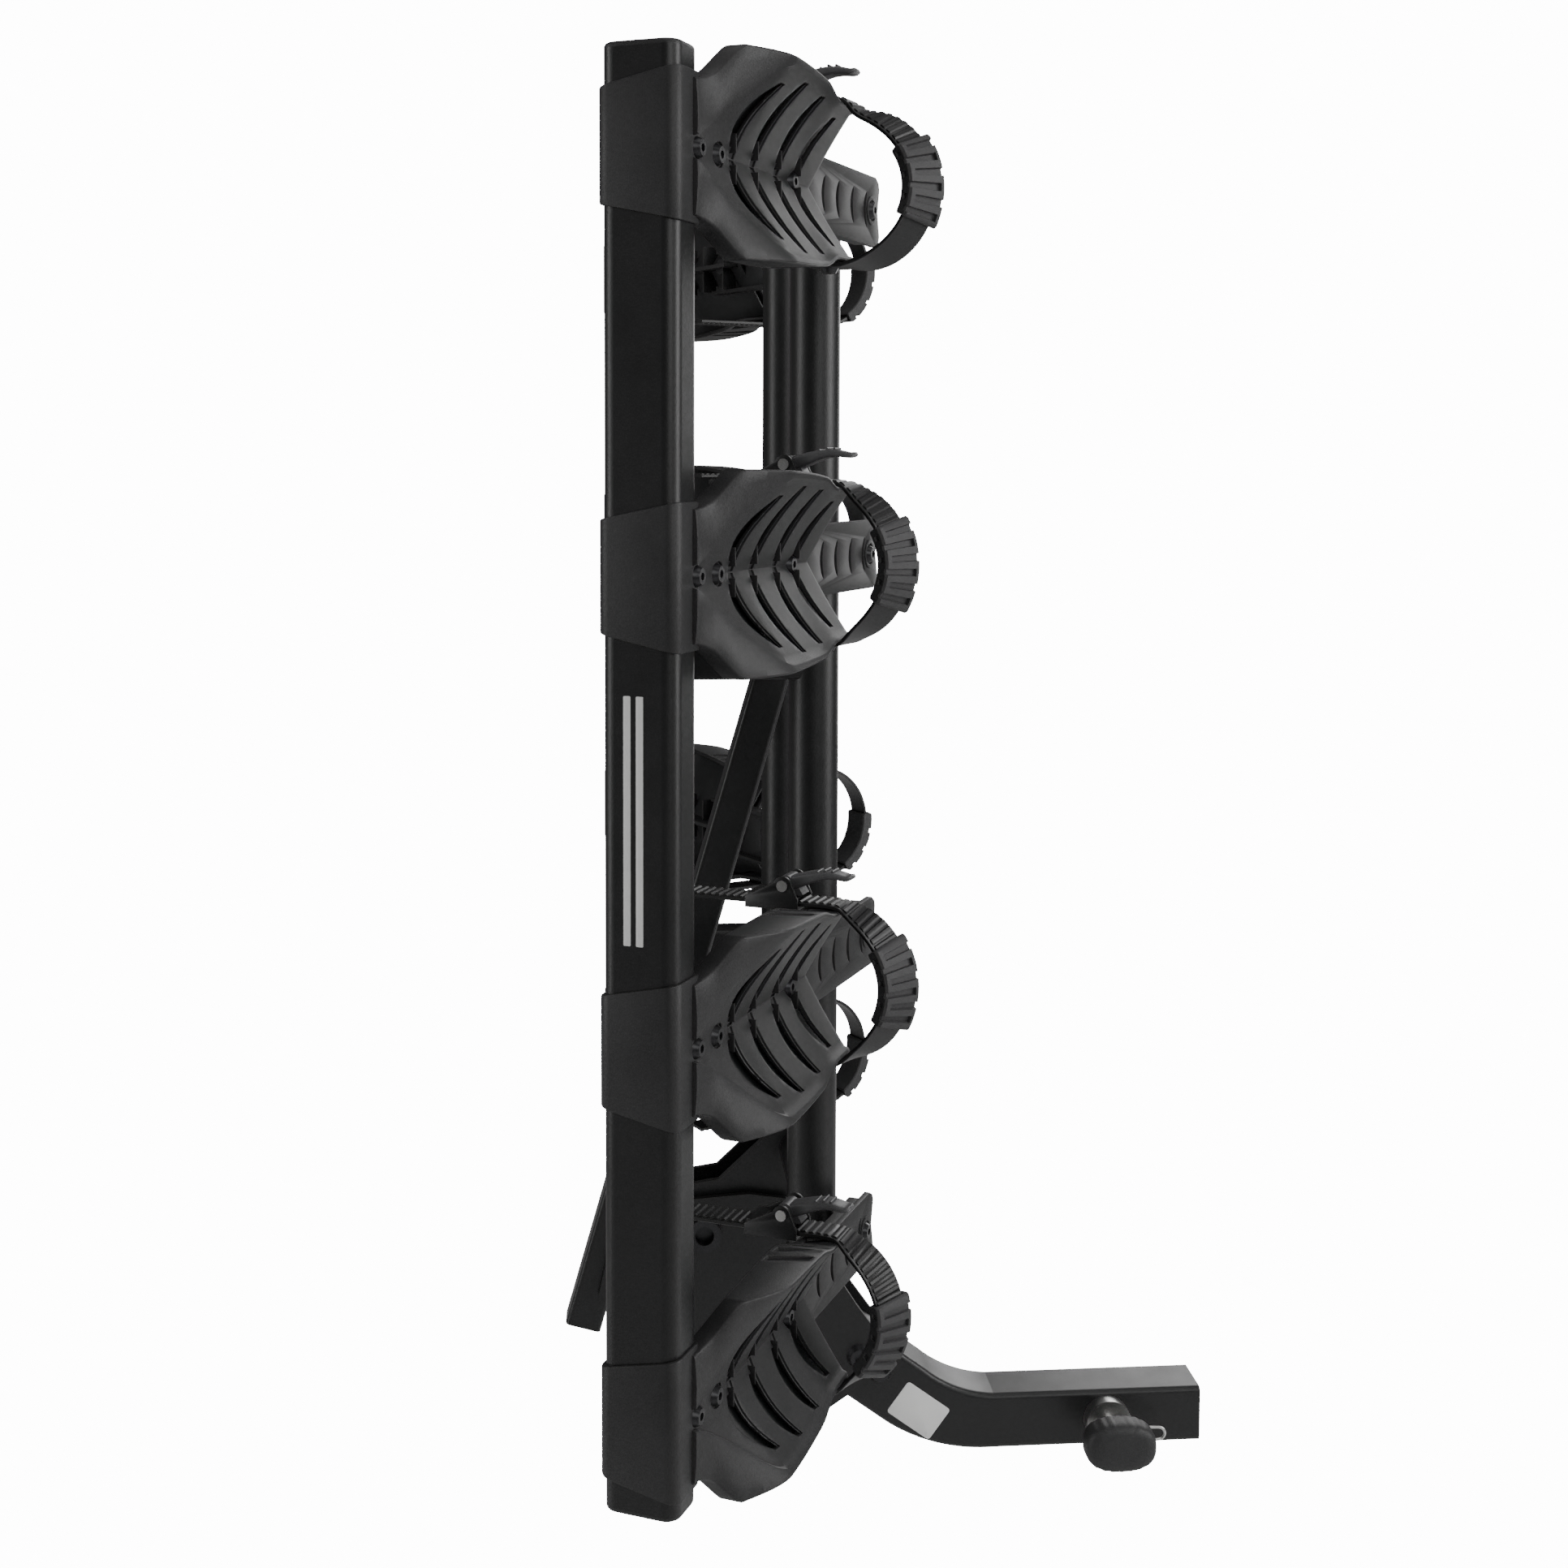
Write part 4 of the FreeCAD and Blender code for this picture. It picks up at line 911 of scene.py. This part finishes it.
# ---------------------------------------------------------------- stage
def bright_for_camera(nodes, links, shader, output, glow):
    """Seen directly the surface glows near white; the light it sheds on the rack stays its own."""
    seen = nodes.new("ShaderNodeEmission")
    seen.inputs["Color"].default_value = (1.0, 1.0, 1.0, 1.0)
    seen.inputs["Strength"].default_value = glow
    ray = nodes.new("ShaderNodeLightPath")
    mix = nodes.new("ShaderNodeMixShader")
    links.new(ray.outputs["Is Camera Ray"], mix.inputs["Fac"])
    links.new(shader.outputs[0], mix.inputs[1])
    links.new(seen.outputs["Emission"], mix.inputs[2])
    links.new(mix.outputs["Shader"], output.inputs["Surface"])


def make_stage():
    """Pale floor, well below the rack, and a plain pale surround."""
    radius, steps = 14.0, 96
    ring = [(radius * math.cos(a), radius * math.sin(a), FLOOR_Z)
            for a in (2 * math.pi * i / steps for i in range(steps))]
    mesh = bpy.data.meshes.new("floor")
    mesh.from_pydata(ring, [], [tuple(range(steps))])
    floor = bpy.data.objects.new("floor", mesh)
    paint = bpy.data.materials.new("floor_paint")
    paint.use_nodes = True
    nodes, links = paint.node_tree.nodes, paint.node_tree.links
    nodes["Principled BSDF"].inputs["Base Color"].default_value = (0.8, 0.8, 0.8, 1.0)
    nodes["Principled BSDF"].inputs["Roughness"].default_value = 0.9
    bright_for_camera(nodes, links, nodes["Principled BSDF"], nodes["Material Output"], GLOW)
    floor.data.materials.append(paint)
    bpy.context.scene.collection.objects.link(floor)

    world = bpy.data.worlds.new("studio")
    bpy.context.scene.world = world
    world.use_nodes = True
    nodes, links = world.node_tree.nodes, world.node_tree.links
    nodes["Background"].inputs["Color"].default_value = (1.0, 1.0, 1.0, 1.0)
    nodes["Background"].inputs["Strength"].default_value = 0.12
    bright_for_camera(nodes, links, nodes["Background"], nodes["World Output"], GLOW)


def soft_light(name, place, target, width, height, power):
    light = bpy.data.lights.new(name, "AREA")
    light.shape = "RECTANGLE"
    light.size = width
    light.size_y = height
    light.energy = power
    lamp = bpy.data.objects.new(name, light)
    lamp.location = place
    lamp.rotation_mode = "QUATERNION"
    lamp.rotation_quaternion = (Vector(target) - Vector(place)).to_track_quat("-Z", "Y")
    bpy.context.scene.collection.objects.link(lamp)


def make_lights():
    middle = (-0.25, 0.0, 0.6)
    soft_light("key_right", (2.2, -1.0, 1.4), middle, 1.0, 2.4, 55.0)
    soft_light("fill_left", (-2.6, -0.6, 1.0), middle, 0.5, 2.4, 22.0)
    soft_light("front", (0.6, -3.2, 1.8), middle, 1.6, 1.6, 26.0)
    soft_light("top", (-0.2, -0.6, 3.2), middle, 2.2, 2.2, 20.0)
    soft_light("rim_back", (1.2, 2.6, 1.4), middle, 1.4, 2.4, 40.0)


def make_camera():
    yaw, pitch, roll = CAMERA_YAW, CAMERA_PITCH, CAMERA_ROLL
    forward = Vector((math.sin(yaw) * math.cos(pitch), math.cos(yaw) * math.cos(pitch), -math.sin(pitch)))
    right = Vector((math.cos(yaw), -math.sin(yaw), 0.0))
    up = right.cross(forward)
    right_rolled = right * math.cos(roll) + up * math.sin(roll)
    up_rolled = up * math.cos(roll) - right * math.sin(roll)
    turn = Matrix((right_rolled, up_rolled, -forward)).transposed().to_4x4()
    data = bpy.data.cameras.new("camera")
    data.sensor_width = 36.0
    data.lens = CAMERA_LENS
    data.shift_y = CAMERA_SHIFT
    data.clip_start = 0.05
    data.clip_end = 60.0
    camera = bpy.data.objects.new("camera", data)
    camera.matrix_world = Matrix.Translation(CAMERA_PLACE) @ turn
    bpy.context.scene.collection.objects.link(camera)
    bpy.context.scene.camera = camera


# ---------------------------------------------------------------- build
finish_cad_nodes()
place_trays()
make_beam_caps()
make_knob()
make_clip()
make_labels()
make_stage()
make_lights()
make_camera()
